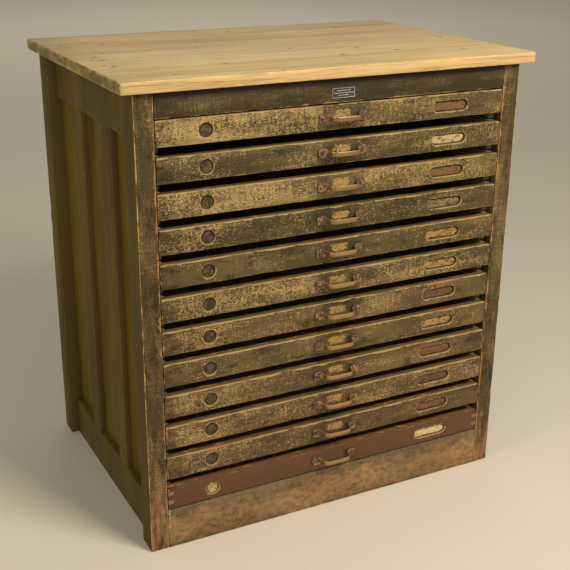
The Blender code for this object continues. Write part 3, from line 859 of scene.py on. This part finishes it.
def add_cube(shape, low, high):
    """Adds a box between two corners and returns its vertices."""
    low, high = Vector(low), Vector(high)
    verts = bmesh.ops.create_cube(shape, size=1.0)["verts"]
    bmesh.ops.scale(shape, vec=high - low, verts=verts)
    bmesh.ops.translate(shape, vec=(low + high) / 2, verts=verts)
    return verts


def island(verts):
    """The vertices, edges and faces of one closed body, in the order that they are found in."""
    edges = dict.fromkeys(edge for vert in verts for edge in vert.link_edges)
    faces = dict.fromkeys(face for vert in verts for face in vert.link_faces)
    return [*verts, *edges, *faces]


def cut_across(shape, verts, low, high, axis, step):
    """Cuts a body into slices along an axis, and returns all its vertices."""
    count = max(1, round((high[axis] - low[axis]) / step))
    normal = Vector([float(index == axis) for index in range(3)])
    geometry = island(verts)
    for index in range(1, count):
        point = low + normal * ((high[axis] - low[axis]) * index / count)
        found = bmesh.ops.bisect_plane(shape, geom=geometry, plane_co=point, plane_no=normal)
        geometry = dict.fromkeys([*geometry, *found["geom"], *found["geom_cut"]])
        geometry = [part for part in geometry if part.is_valid]
    return [part for part in geometry if isinstance(part, bmesh.types.BMVert)]


def sharp_edges(verts, angle=0.9):
    """The edges of a body where its faces meet at a corner."""
    edges = dict.fromkeys(edge for vert in verts for edge in vert.link_edges)
    return [edge for edge in edges if edge.calc_face_angle(0.0) > angle]


def round_edges(shape, edges, radius, segments=2):
    """Rounds edges of a shape over and returns the vertices that this makes."""
    found = bmesh.ops.bevel(
        shape, geom=edges, offset=radius, segments=segments, profile=0.5, material=-1, affect="EDGES"
    )
    return found["verts"]


def wear_back(verts, low, high, reach, amount, seed):
    """Wears a board's arrises back by a little, and by more where a nick is."""
    middle = (low + high) / 2
    for vert in verts:
        near = [min(vert.co[i] - low[i], high[i] - vert.co[i]) for i in range(3)]
        if sorted(near)[1] > reach * 1.05:
            continue
        soft = noise.noise(vert.co * WEAR_GRAIN + Vector((seed, 0, 0))) * 0.5 + 0.5
        nick = noise.noise(vert.co * NICK_GRAIN + Vector((0, seed, 0))) - NICK_START
        for i in range(3):
            if near[i] < reach:
                inward = 1.0 if vert.co[i] < middle[i] else -1.0
                vert.co[i] += inward * amount * (soft * 0.45 + max(0.0, nick) * NICK_DEPTH)


def mark_board(shape, verts, low, high):
    """Stores how far every vertex is from the board's low and high faces."""
    layers = shape.verts.layers.float_vector
    near_low = layers.get("near_low") or layers.new("near_low")
    near_high = layers.get("near_high") or layers.new("near_high")
    for vert in verts:
        vert[near_low] = vert.co - low
        vert[near_high] = high - vert.co


def add_board(shape, low, high, arris, wear, step=0.014, seed=0.0):
    """Adds a worn board between two corners."""
    low, high = Vector(low), Vector(high)
    size = high - low
    axis = max(range(3), key=lambda index: size[index])
    verts = cut_across(shape, add_cube(shape, low, high), low, high, axis, step)
    rounded = round_edges(shape, sharp_edges(verts), arris)
    verts = list(dict.fromkeys([*(vert for vert in verts if vert.is_valid), *rounded]))
    wear_back(verts, low, high, arris, wear, seed)
    mark_board(shape, verts, low, high)
    return verts


def new_shape():
    """A bmesh that can hold the boards' distances."""
    shape = bmesh.new()
    shape.verts.layers.float_vector.new("near_low")
    shape.verts.layers.float_vector.new("near_high")
    return shape


def add_stack(shape, profile, half_length=0.0, segments=28):
    """Adds a turned shape about +Z from (radius, height) steps, drawn out along X to a slot."""
    circle = bmesh.ops.create_circle(shape, cap_ends=True, radius=profile[0][0], segments=segments)
    made = list(circle["verts"])
    place_ring(made, *profile[0], half_length)
    cap = made[0].link_faces[0]
    rim = list(cap.edges)
    for radius, height in profile[1:]:
        cap = bmesh.ops.extrude_discrete_faces(shape, faces=[cap])["faces"][0]
        ring = list(cap.verts)
        place_ring(ring, radius, height, half_length)
        made += ring
    bmesh.ops.contextual_create(shape, geom=rim)
    return made


def place_ring(verts, radius, height, half_length):
    """Puts a ring's vertices on a circle or a slot of this radius, at this height."""
    for vert in verts:
        shift = half_length * ((vert.co.x > 1e-9) - (vert.co.x < -1e-9))
        inner = shift if abs(vert.co.x) >= half_length else 0.0
        across = Vector((vert.co.x - inner, vert.co.y, 0.0)).normalized() * radius
        vert.co = (across.x + shift, across.y, height)


# ---- pieces


def settings():
    scene = bpy.context.scene
    return scene.cabinet_colours, scene.cabinet_sizes, scene.cabinet_stage


def cut(shape, cutters):
    """The bmesh that is left when the cutters are taken from a shape."""
    pieces = []
    for one in (shape, cutters):
        bmesh.ops.recalc_face_normals(one, faces=one.faces)
        mesh = bpy.data.meshes.new("cut")
        one.to_mesh(mesh)
        one.free()
        piece = bpy.data.objects.new("cut", mesh)
        bpy.context.scene.collection.objects.link(piece)
        pieces.append(piece)
    boolean = pieces[0].modifiers.new("Boolean", "BOOLEAN")
    boolean.operation = "DIFFERENCE"
    boolean.object = pieces[1]
    graph = bpy.context.evaluated_depsgraph_get()
    left = bmesh.new()
    left.from_mesh(pieces[0].evaluated_get(graph).data)
    for piece in pieces:
        mesh = piece.data
        bpy.data.objects.remove(piece)
        bpy.data.meshes.remove(mesh)
    return left


def build_top_board():
    colours, sizes, _ = settings()
    low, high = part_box("top_board")
    shape = new_shape()
    verts = cut_across(shape, add_cube(shape, low, high), low, high, 0, BOARD_STEP)
    half = (high.z - low.z) / 2
    upright = [
        edge for edge in sharp_edges(verts) if abs(edge.verts[0].co.z - edge.verts[1].co.z) > half
    ]
    round_edges(shape, upright, sizes.corner, 5)
    round_edges(shape, sharp_edges(shape.verts), sizes.board_arris, 3)
    wear_back(list(shape.verts), low, high, sizes.board_arris, sizes.wear * 0.9, 3.0)
    mark_board(shape, shape.verts, low, high)
    pine = pine_finish(colours)
    add_piece("pine_top_board", shape, [pine], CABINET, ["top_board"])


def build_frame():
    colours, sizes, _ = settings()
    finishes = dict.fromkeys(POSTS[:2], frame_finish(colours))
    finishes.update(dict.fromkeys(POSTS[2:], side_finish(colours)))
    finishes["front_top_rail"] = rail_finish("olive_rail_paint", top_rail_tint, 0.26, colours)
    finishes["front_bottom_rail"] = rail_finish("rusty_rail_wood", bottom_rail_tint, 0.66, colours)
    for index, node in enumerate(POSTS + FRONT_RAILS):
        low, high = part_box(node)
        shape = new_shape()
        add_board(shape, low, high, sizes.arris, sizes.wear, seed=float(index))
        add_piece(f"worn_{node}", shape, [finishes[node]], CABINET, [node])


def build_sides():
    colours, sizes, _ = settings()
    paint = side_finish(colours)
    for index, node in enumerate(SIDE_BOARDS):
        low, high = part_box(node)
        shape = new_shape()
        add_board(shape, low, high, sizes.side_arris, sizes.wear * 0.5, 0.03, float(index))
        add_piece(f"painted_{node}", shape, [paint], CABINET, [node])


def build_inside():
    """Gives the back and the runner racks, whose CAD shape is right, their wood."""
    colours, _, _ = settings()
    wood = inner_finish(colours)
    for node in ("left_runner_rack", "right_runner_rack"):
        give_material(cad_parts[node], wood)
    give_material(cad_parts["back_panel"], inner_finish(colours, "back_wood", 2))


def give_material(piece, material):
    """Puts one material on every slot of a CAD node."""
    if not piece.material_slots:
        piece.data.materials.append(material)
    for slot in piece.material_slots:
        slot.material = material


def recess_cutter(cutters, recess, low, lift):
    """Adds the cutter of one recess in a drawer front that stands this much above the first."""
    deep = recess.floor - low.y
    profile = [(recess.radius - RECESS_FILLET, deep), (recess.radius, deep - RECESS_FILLET)]
    profile += [(recess.radius + out, depth) for out, depth in RECESS_MOUTH]
    for vert in add_stack(cutters, profile, recess.half_length):
        place = (recess.place.x + vert.co.x, low.y + vert.co.z, recess.place.z + lift + vert.co.y)
        vert.co = Vector(place)


def front_shape(number, sizes):
    """A drawer front with rounded arrises, its two recesses and the notches of its joints."""
    low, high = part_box(f"drawer_front_{number}")
    shape = new_shape()
    add_board(shape, low, high, sizes.front_arris, sizes.wear, FRONT_STEP, float(number) * 3.0)
    cutters = bmesh.new()
    for recess in (HOLE, SLOT):
        recess_cutter(cutters, recess, low, low.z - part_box(FIRST_FRONT)[0].z)
    for corners in finger_boxes(number):
        add_cube(cutters, *corners)
    shape = cut(shape, cutters)
    mark_board(shape, shape.verts, low, high)
    return shape


def finger_ends(number):
    """The vertices of a tray that lie on the ends of its fingers, at the drawer's face."""
    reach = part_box(f"drawer_front_{number}")[0].y + FACE_DEPTH
    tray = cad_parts[f"drawer_tray_{number}"].data
    return [vert.co for vert in tray.vertices if vert.co.y < reach]


def tray_side_thickness(number):
    """The thickness of a tray's sides, read from its fingers."""
    across = [abs(place.x) for place in finger_ends(number)]
    return max(across) - min(across)


def finger_boxes(number):
    """The notches at both ends of a drawer front, read from the tray's fingers."""
    low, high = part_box(f"drawer_front_{number}")
    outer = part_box(f"drawer_tray_{number}")[1].x
    inner = tray_side_thickness(number) + GAP  # in from the outer face
    heights = sorted({round(place.z, 5) for place in finger_ends(number)})
    boxes = []
    for bottom, top in zip(heights[0::2], heights[1::2]):
        for side in (-1, 1):
            near, far = sorted((side * (outer - inner), side * (outer + BEYOND)))
            boxes.append(((near, low.y - BEYOND, bottom - GAP), (far, high.y + BEYOND, top + GAP)))
    return boxes


def build_fronts():
    colours, sizes, _ = settings()
    for index, number in enumerate(DRAWER_NUMBERS):
        last = index + 1 == len(DRAWER_NUMBERS)
        material = last_drawer_finish(colours) if last else drawer_finish(index, colours)
        add_piece(
            f"worn_front_{number}", front_shape(number, sizes), [material], f"drawer_{number}",
            [f"drawer_front_{number}"], 0.5,
        )


def tray_shape(number):
    """A tray's two sides, its back and its bottom."""
    low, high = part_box(f"drawer_tray_{number}")
    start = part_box(f"drawer_front_{number}")[1].y + JOINT_GAP
    thickness = tray_side_thickness(number)
    inner = high.x - thickness - JOINT_GAP
    front, back = high.y - TRAY_BACK[0], high.y - TRAY_BACK[1]
    bottom, top = low.z + TRAY_BACK_EDGES[0], high.z - TRAY_BACK_EDGES[1]
    shape = new_shape()
    for side in (-1, 1):
        near, far = sorted((side * high.x, side * (high.x - thickness)))
        add_board(shape, (near, start, low.z), (far, high.y, high.z), TRAY_ARRIS, TRAY_WEAR, TRAY_STEP)
    add_board(shape, (-inner, front, bottom), (inner, back, top), TRAY_ARRIS, TRAY_WEAR, TRAY_STEP)
    front -= TRAY_BOTTOM_GAP
    bottom, top = low.z + TRAY_BOTTOM[0], low.z + TRAY_BOTTOM[1]
    add_board(shape, (-inner, start, bottom), (inner, front, top), TRAY_ARRIS / 2, 0.0, TRAY_STEP)
    return shape


def finger_shape(number):
    """The ends of a tray's fingers, which stand in the notches of its front."""
    low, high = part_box(f"drawer_tray_{number}")
    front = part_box(f"drawer_front_{number}")
    shape = new_shape()
    for near, far in finger_boxes(number):
        left = max(near[0] + JOINT_GAP, low.x + GAP)
        right = min(far[0] - JOINT_GAP, high.x - GAP)
        corners = (left, front[0].y + GAP, near[2] + JOINT_GAP), (right, front[1].y, far[2] - JOINT_GAP)
        add_board(shape, *corners, TRAY_ARRIS / 2, TRAY_WEAR / 2, TRAY_STEP / 2)
    mark_board(shape, shape.verts, *front)
    return shape


def build_trays():
    colours, _, _ = settings()
    wood = inner_finish(colours)
    materials = bpy.data.materials
    for number in DRAWER_NUMBERS:
        body, node = f"drawer_{number}", f"drawer_tray_{number}"
        paint = materials.get(f"worn_drawer_paint_{number}") or materials["bare_drawer_wood"]
        add_piece(f"wood_tray_{number}", tray_shape(number), [wood], body, [node])
        fingers = finger_shape(number)
        add_piece(f"joint_fingers_{number}", fingers, [paint], body, ())


def handle_path(half_width, reach):
    """The strap's middle line from above, with round bends: points from one foot to the other."""
    arm = half_width - STRAP_FOOT
    inward, behind = STRAP_SHOULDER
    corners = [(-half_width, 0.0), (-arm - STRAP_HEEL, 0.0), (-arm + inward, -reach + behind)]
    corners.append((-STRAP_BAR_LENGTH / 2, -reach))
    corners = [Vector(corner) for corner in corners + [(-x, y) for x, y in reversed(corners)]]
    bends = STRAP_BENDS + STRAP_BENDS[::-1]
    points = []
    for index, (corner, bend) in enumerate(zip(corners, bends)):
        if not bend:
            points.append(corner)
            continue
        before = corner + (corners[index - 1] - corner).normalized() * bend
        after = corner + (corners[index + 1] - corner).normalized() * bend
        for step in range(STRAP_BEND_STEPS + 1):
            t = step / STRAP_BEND_STEPS
            points.append(before * (1 - t) ** 2 + corner * 2 * t * (1 - t) + after * t * t)
    return points


def strap_height(x, half_width, foot_height):
    """Half the strap's height at a distance x from the middle: round-ended feet, then the bar."""
    start = half_width - STRAP_FOOT
    if x <= start:
        return STRAP_BAR_HEIGHT
    t = min(1.0, (x - start) / STRAP_NECK)
    height = STRAP_BAR_HEIGHT + (foot_height - STRAP_BAR_HEIGHT) * t * t * (3 - 2 * t)
    end = STRAP_FOOT_END
    beyond = max(0.0, (x - (half_width - end)) / end)
    return height - end * (1 - math.sqrt(max(0.0, 1 - beyond * beyond)))


def resampled(points, spacing):
    """Points at even spacing along a line through these points."""
    out = [points[0]]
    for start, end in zip(points, points[1:]):
        count = max(1, round((end - start).length / spacing))
        out += [start.lerp(end, (step + 1) / count) for step in range(count)]
    return out


def handle_shape(number, sizes):
    """A bow handle: a strip laid along its path, thickened, with rounded edges."""
    low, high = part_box(f"drawer_handle_{number}")
    centre = (low + high) / 2
    half_width = (high.x - low.x) / 2
    back = high.y - sizes.strap / 2 - GAP
    reach = back - low.y - sizes.strap / 2 - GAP
    path = resampled(handle_path(half_width - GAP, reach), STRAP_SPACING)
    last = len(path) - 1
    shape = new_shape()
    grid = bmesh.ops.create_grid(shape, x_segments=last, y_segments=STRAP_ROWS, size=1.0)["verts"]
    for vert in grid:
        x, y = path[round((vert.co.x + 1) / 2 * last)]
        half = strap_height(abs(x), half_width, (high.z - low.z) / 2 - GAP)
        vert.co = (centre.x + x, back + y, centre.z + vert.co.y * half)
    for face in shape.faces:
        face.normal_update()
    bmesh.ops.recalc_face_normals(shape, faces=shape.faces)
    bmesh.ops.solidify(shape, geom=shape.faces[:], thickness=sizes.strap)
    bar = [vert.co.y for vert in shape.verts if abs(vert.co.x) < STRAP_MIDDLE]
    shift = low.y + sizes.strap / 2 + JOINT_GAP - sum(bar, 0.0) / len(bar)
    bmesh.ops.translate(shape, vec=(0, shift, 0), verts=shape.verts)
    bmesh.ops.recalc_face_normals(shape, faces=shape.faces)
    round_edges(shape, sharp_edges(shape.verts, 1.0), STRAP_EDGE)
    mark_board(shape, shape.verts, low, high)
    return shape


def screw_shape(places, radius, turns):
    """Domed screw heads with a slot each, standing out towards -Y."""
    heads, slots = bmesh.new(), bmesh.new()
    profile = [(radius * share, height) for share, height in SCREW_DOME]
    half, floor, beyond = SCREW_SLOT
    long = radius * 1.2
    for place, turn in zip(places, turns):
        for vert in add_stack(heads, profile, segments=20):
            vert.co = place + Vector((vert.co.x, -vert.co.z, vert.co.y))
        for vert in add_cube(slots, (-long, -beyond, -half), (long, -floor, half)):
            x, y, z = vert.co
            across = x * math.cos(turn) - z * math.sin(turn)
            up = x * math.sin(turn) + z * math.cos(turn)
            vert.co = place + Vector((across, y, up))
    return cut(heads, slots)


def build_handles():
    colours, sizes, _ = settings()
    steel = steel_finish("aged_handle_steel", colours)
    screws = steel_finish("screw_steel", colours, 0.8)
    for index, number in enumerate(DRAWER_NUMBERS):
        node, body = f"drawer_handle_{number}", f"drawer_{number}"
        strap = handle_shape(number, sizes)
        add_piece(f"bow_handle_{number}", strap, [steel], body, [node])
        low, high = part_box(node)
        face = high.y - sizes.strap - GAP
        middle = (low.z + high.z) / 2
        places = [Vector((side * (high.x - SCREW_INSET), face, middle)) for side in (-1, 1)]
        turns = [start + index * change for start, change in SCREW_TURNS]
        heads = screw_shape(places, sizes.screw, turns)
        add_piece(f"handle_screws_{number}", heads, [screws], body, ())


def build_cards():
    colours, sizes, _ = settings()
    finishes = {name: card_finish(name, *look, colours) for name, look in CARDS.items()}
    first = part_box(FIRST_FRONT)[0].z
    radius = SLOT.radius - CARD_INSET
    profile = [(radius, 0.0), (radius, sizes.card * 0.7), (radius - CARD_EDGE, sizes.card)]
    for number, drawer in zip(DRAWER_NUMBERS, DRAWERS):
        low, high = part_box(f"drawer_front_{number}")
        middle = SLOT.place.z + low.z - first
        shape = new_shape()
        for vert in add_stack(shape, profile, SLOT.half_length):
            depth = SLOT.floor - CARD_FLOOR_GAP - vert.co.z
            vert.co = Vector((SLOT.place.x + vert.co.x, depth, middle + vert.co.y))
        mark_board(shape, shape.verts, low, high)
        add_piece(f"label_card_{number}", shape, [finishes[drawer.card]], f"drawer_{number}")


def plate_shape(sizes):
    """A plate on the top rail, with a rim, a dark field, plain bars and two pins."""
    low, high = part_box("front_top_rail")
    middle = low.z + (high.z - low.z) * PLATE_RISE
    back = low.y - GAP
    half = Vector((sizes.plate_width / 2, 0.0, sizes.plate_height / 2))
    shape = bmesh.new()
    corners = (-half.x, back - sizes.plate_thickness, middle - half.z), (half.x, back, middle + half.z)
    add_cube(shape, *corners)
    shape.normal_update()
    front = min(shape.faces, key=lambda face: face.calc_center_median().y)
    bmesh.ops.inset_region(shape, faces=[front], thickness=PLATE_RIM)
    bmesh.ops.translate(shape, vec=(0.0, PLATE_FIELD, 0.0), verts=front.verts)
    front.material_index = 1
    round_edges(shape, sharp_edges(shape.verts, 1.2), PLATE_EDGE)
    near, far = PLATE_BAR_FACES
    for width, rise in PLATE_BARS:
        bottom, top = middle + rise - PLATE_BAR_HALF, middle + rise + PLATE_BAR_HALF
        bar = add_cube(shape, (-width / 2, back - near, bottom), (width / 2, back - far, top))
        round_edges(shape, sharp_edges(bar), PLATE_EDGE / 2, 1)
    for side in (-1, 1):
        for vert in add_stack(shape, PLATE_PIN, segments=14):
            place = (side * PLATE_PIN_PLACE + vert.co.x, back - far - vert.co.z, middle + vert.co.y)
            vert.co = Vector(place)
    return shape


def build_plate():
    colours, sizes, _ = settings()
    metal = plate_finish("plate_metal", colours.plate, 0.85, colours.plate * 0.5)
    enamel = plate_finish("plate_enamel", colours.enamel, 0.2, colours.plate * 0.4)
    add_piece("name_plate", plate_shape(sizes), [metal, enamel], CABINET)


def build_stage():
    colours, _, stage = settings()
    scene = bpy.context.scene
    floor_shape = bmesh.new()
    bmesh.ops.create_grid(floor_shape, x_segments=1, y_segments=1, size=stage.floor_size / 2)
    bmesh.ops.translate(floor_shape, vec=(0.0, 0.0, -FLOOR_GAP), verts=floor_shape.verts)
    mesh = bpy.data.meshes.new("floor")
    floor_shape.to_mesh(mesh)
    floor_shape.free()
    mesh.materials.append(floor_finish(colours))
    floor = bpy.data.objects.new("floor", mesh)
    scene.collection.objects.link(floor)
    world = bpy.data.worlds.new("studio")
    world.use_nodes = True
    background = world.node_tree.nodes["Background"]
    background.inputs["Color"].default_value = (1.0, 0.97, 0.91, 1.0)
    background.inputs["Strength"].default_value = stage.sky
    scene.world = world
    scene.view_settings.view_transform = "Standard"
    add_light("key_light", (0.9, -2.4, 2.6), (0.0, 0.0, 0.45), 1.2, stage.key, (1.0, 0.96, 0.88))
    add_light("fill_light", (-2.8, -0.9, 1.9), (0.0, 0.1, 0.4), 1.6, stage.fill, (1.0, 0.96, 0.86))
    add_light("floor_light", (3.0, 7.5, 4.5), (3.0, 8.0, 0.0), 4.0, stage.floor_light, (1.0, 0.97, 0.92))
    camera = bpy.data.objects.new("camera", bpy.data.cameras.new("camera"))
    camera.location = stage.camera_place
    camera.rotation_euler = stage.camera_turn
    camera.data.lens = stage.lens
    camera.data.sensor_width = 36.0
    scene.collection.objects.link(camera)
    scene.camera = camera


def add_light(name, place, target, size, power, tint):
    """A soft square light that faces a point."""
    light = bpy.data.lights.new(name, "AREA")
    light.energy = power
    light.size = size
    light.color = tint
    lamp = bpy.data.objects.new(name, light)
    lamp.location = place
    lamp.rotation_euler = (Vector(target) - Vector(place)).to_track_quat("-Z", "Y").to_euler()
    bpy.context.scene.collection.objects.link(lamp)


# ---- operators


class CABINET_OT_stage(bpy.types.Operator):
    """Adds the floor, the lights and the camera"""

    bl_idname = "cabinet.stage"
    bl_label = "Stage"

    def execute(self, context):
        build_stage()
        return {"FINISHED"}


class CABINET_OT_top_board(bpy.types.Operator):
    """Adds the pine board on top"""

    bl_idname = "cabinet.top_board"
    bl_label = "Top board"

    def execute(self, context):
        build_top_board()
        return {"FINISHED"}


class CABINET_OT_frame(bpy.types.Operator):
    """Adds the posts and the front rails"""

    bl_idname = "cabinet.frame"
    bl_label = "Frame"

    def execute(self, context):
        build_frame()
        return {"FINISHED"}


class CABINET_OT_sides(bpy.types.Operator):
    """Adds the boards of both sides"""

    bl_idname = "cabinet.sides"
    bl_label = "Sides"

    def execute(self, context):
        build_sides()
        return {"FINISHED"}


class CABINET_OT_inside(bpy.types.Operator):
    """Finishes the back and the runners"""

    bl_idname = "cabinet.inside"
    bl_label = "Inside"

    def execute(self, context):
        build_inside()
        return {"FINISHED"}


class CABINET_OT_fronts(bpy.types.Operator):
    """Adds the drawer fronts with their recesses"""

    bl_idname = "cabinet.fronts"
    bl_label = "Drawer fronts"

    def execute(self, context):
        build_fronts()
        return {"FINISHED"}


class CABINET_OT_trays(bpy.types.Operator):
    """Adds the drawer trays and their joints"""

    bl_idname = "cabinet.trays"
    bl_label = "Trays"

    def execute(self, context):
        build_trays()
        return {"FINISHED"}


class CABINET_OT_handles(bpy.types.Operator):
    """Adds the handles and their screws"""

    bl_idname = "cabinet.handles"
    bl_label = "Handles"

    def execute(self, context):
        build_handles()
        return {"FINISHED"}


class CABINET_OT_cards(bpy.types.Operator):
    """Adds the cards in the label recesses"""

    bl_idname = "cabinet.cards"
    bl_label = "Label cards"

    def execute(self, context):
        build_cards()
        return {"FINISHED"}


class CABINET_OT_plate(bpy.types.Operator):
    """Adds the plain plate on the top rail"""

    bl_idname = "cabinet.plate"
    bl_label = "Name plate"

    def execute(self, context):
        build_plate()
        return {"FINISHED"}


OPERATORS = [
    CABINET_OT_stage,
    CABINET_OT_top_board,
    CABINET_OT_frame,
    CABINET_OT_sides,
    CABINET_OT_inside,
    CABINET_OT_fronts,
    CABINET_OT_trays,
    CABINET_OT_handles,
    CABINET_OT_cards,
    CABINET_OT_plate,
]


class CABINET_PT_finish(bpy.types.Panel):
    """Lists the sizes, the colours and the operators."""

    bl_label = "Card Cabinet"
    bl_space_type = "VIEW_3D"
    bl_region_type = "UI"
    bl_category = "Card Cabinet"

    def draw(self, context):
        for group in settings():
            box = self.layout.box()
            for name in group.bl_rna.properties.keys():
                if name not in ("rna_type", "name"):
                    box.prop(group, name)
        for one in OPERATORS:
            self.layout.operator(one.bl_idname)


CLASSES = [CabinetColours, CabinetSizes, StageSettings, *OPERATORS, CABINET_PT_finish]


def register():
    for one in CLASSES:
        bpy.utils.register_class(one)
    bpy.types.Scene.cabinet_colours = bpy.props.PointerProperty(type=CabinetColours)
    bpy.types.Scene.cabinet_sizes = bpy.props.PointerProperty(type=CabinetSizes)
    bpy.types.Scene.cabinet_stage = bpy.props.PointerProperty(type=StageSettings)


def unregister():
    del bpy.types.Scene.cabinet_colours
    del bpy.types.Scene.cabinet_sizes
    del bpy.types.Scene.cabinet_stage
    for one in reversed(CLASSES):
        bpy.utils.unregister_class(one)


def main():
    register()
    for one in OPERATORS:
        group, name = one.bl_idname.split(".")
        getattr(getattr(bpy.ops, group), name)()


if __name__ == "__main__":
    main()
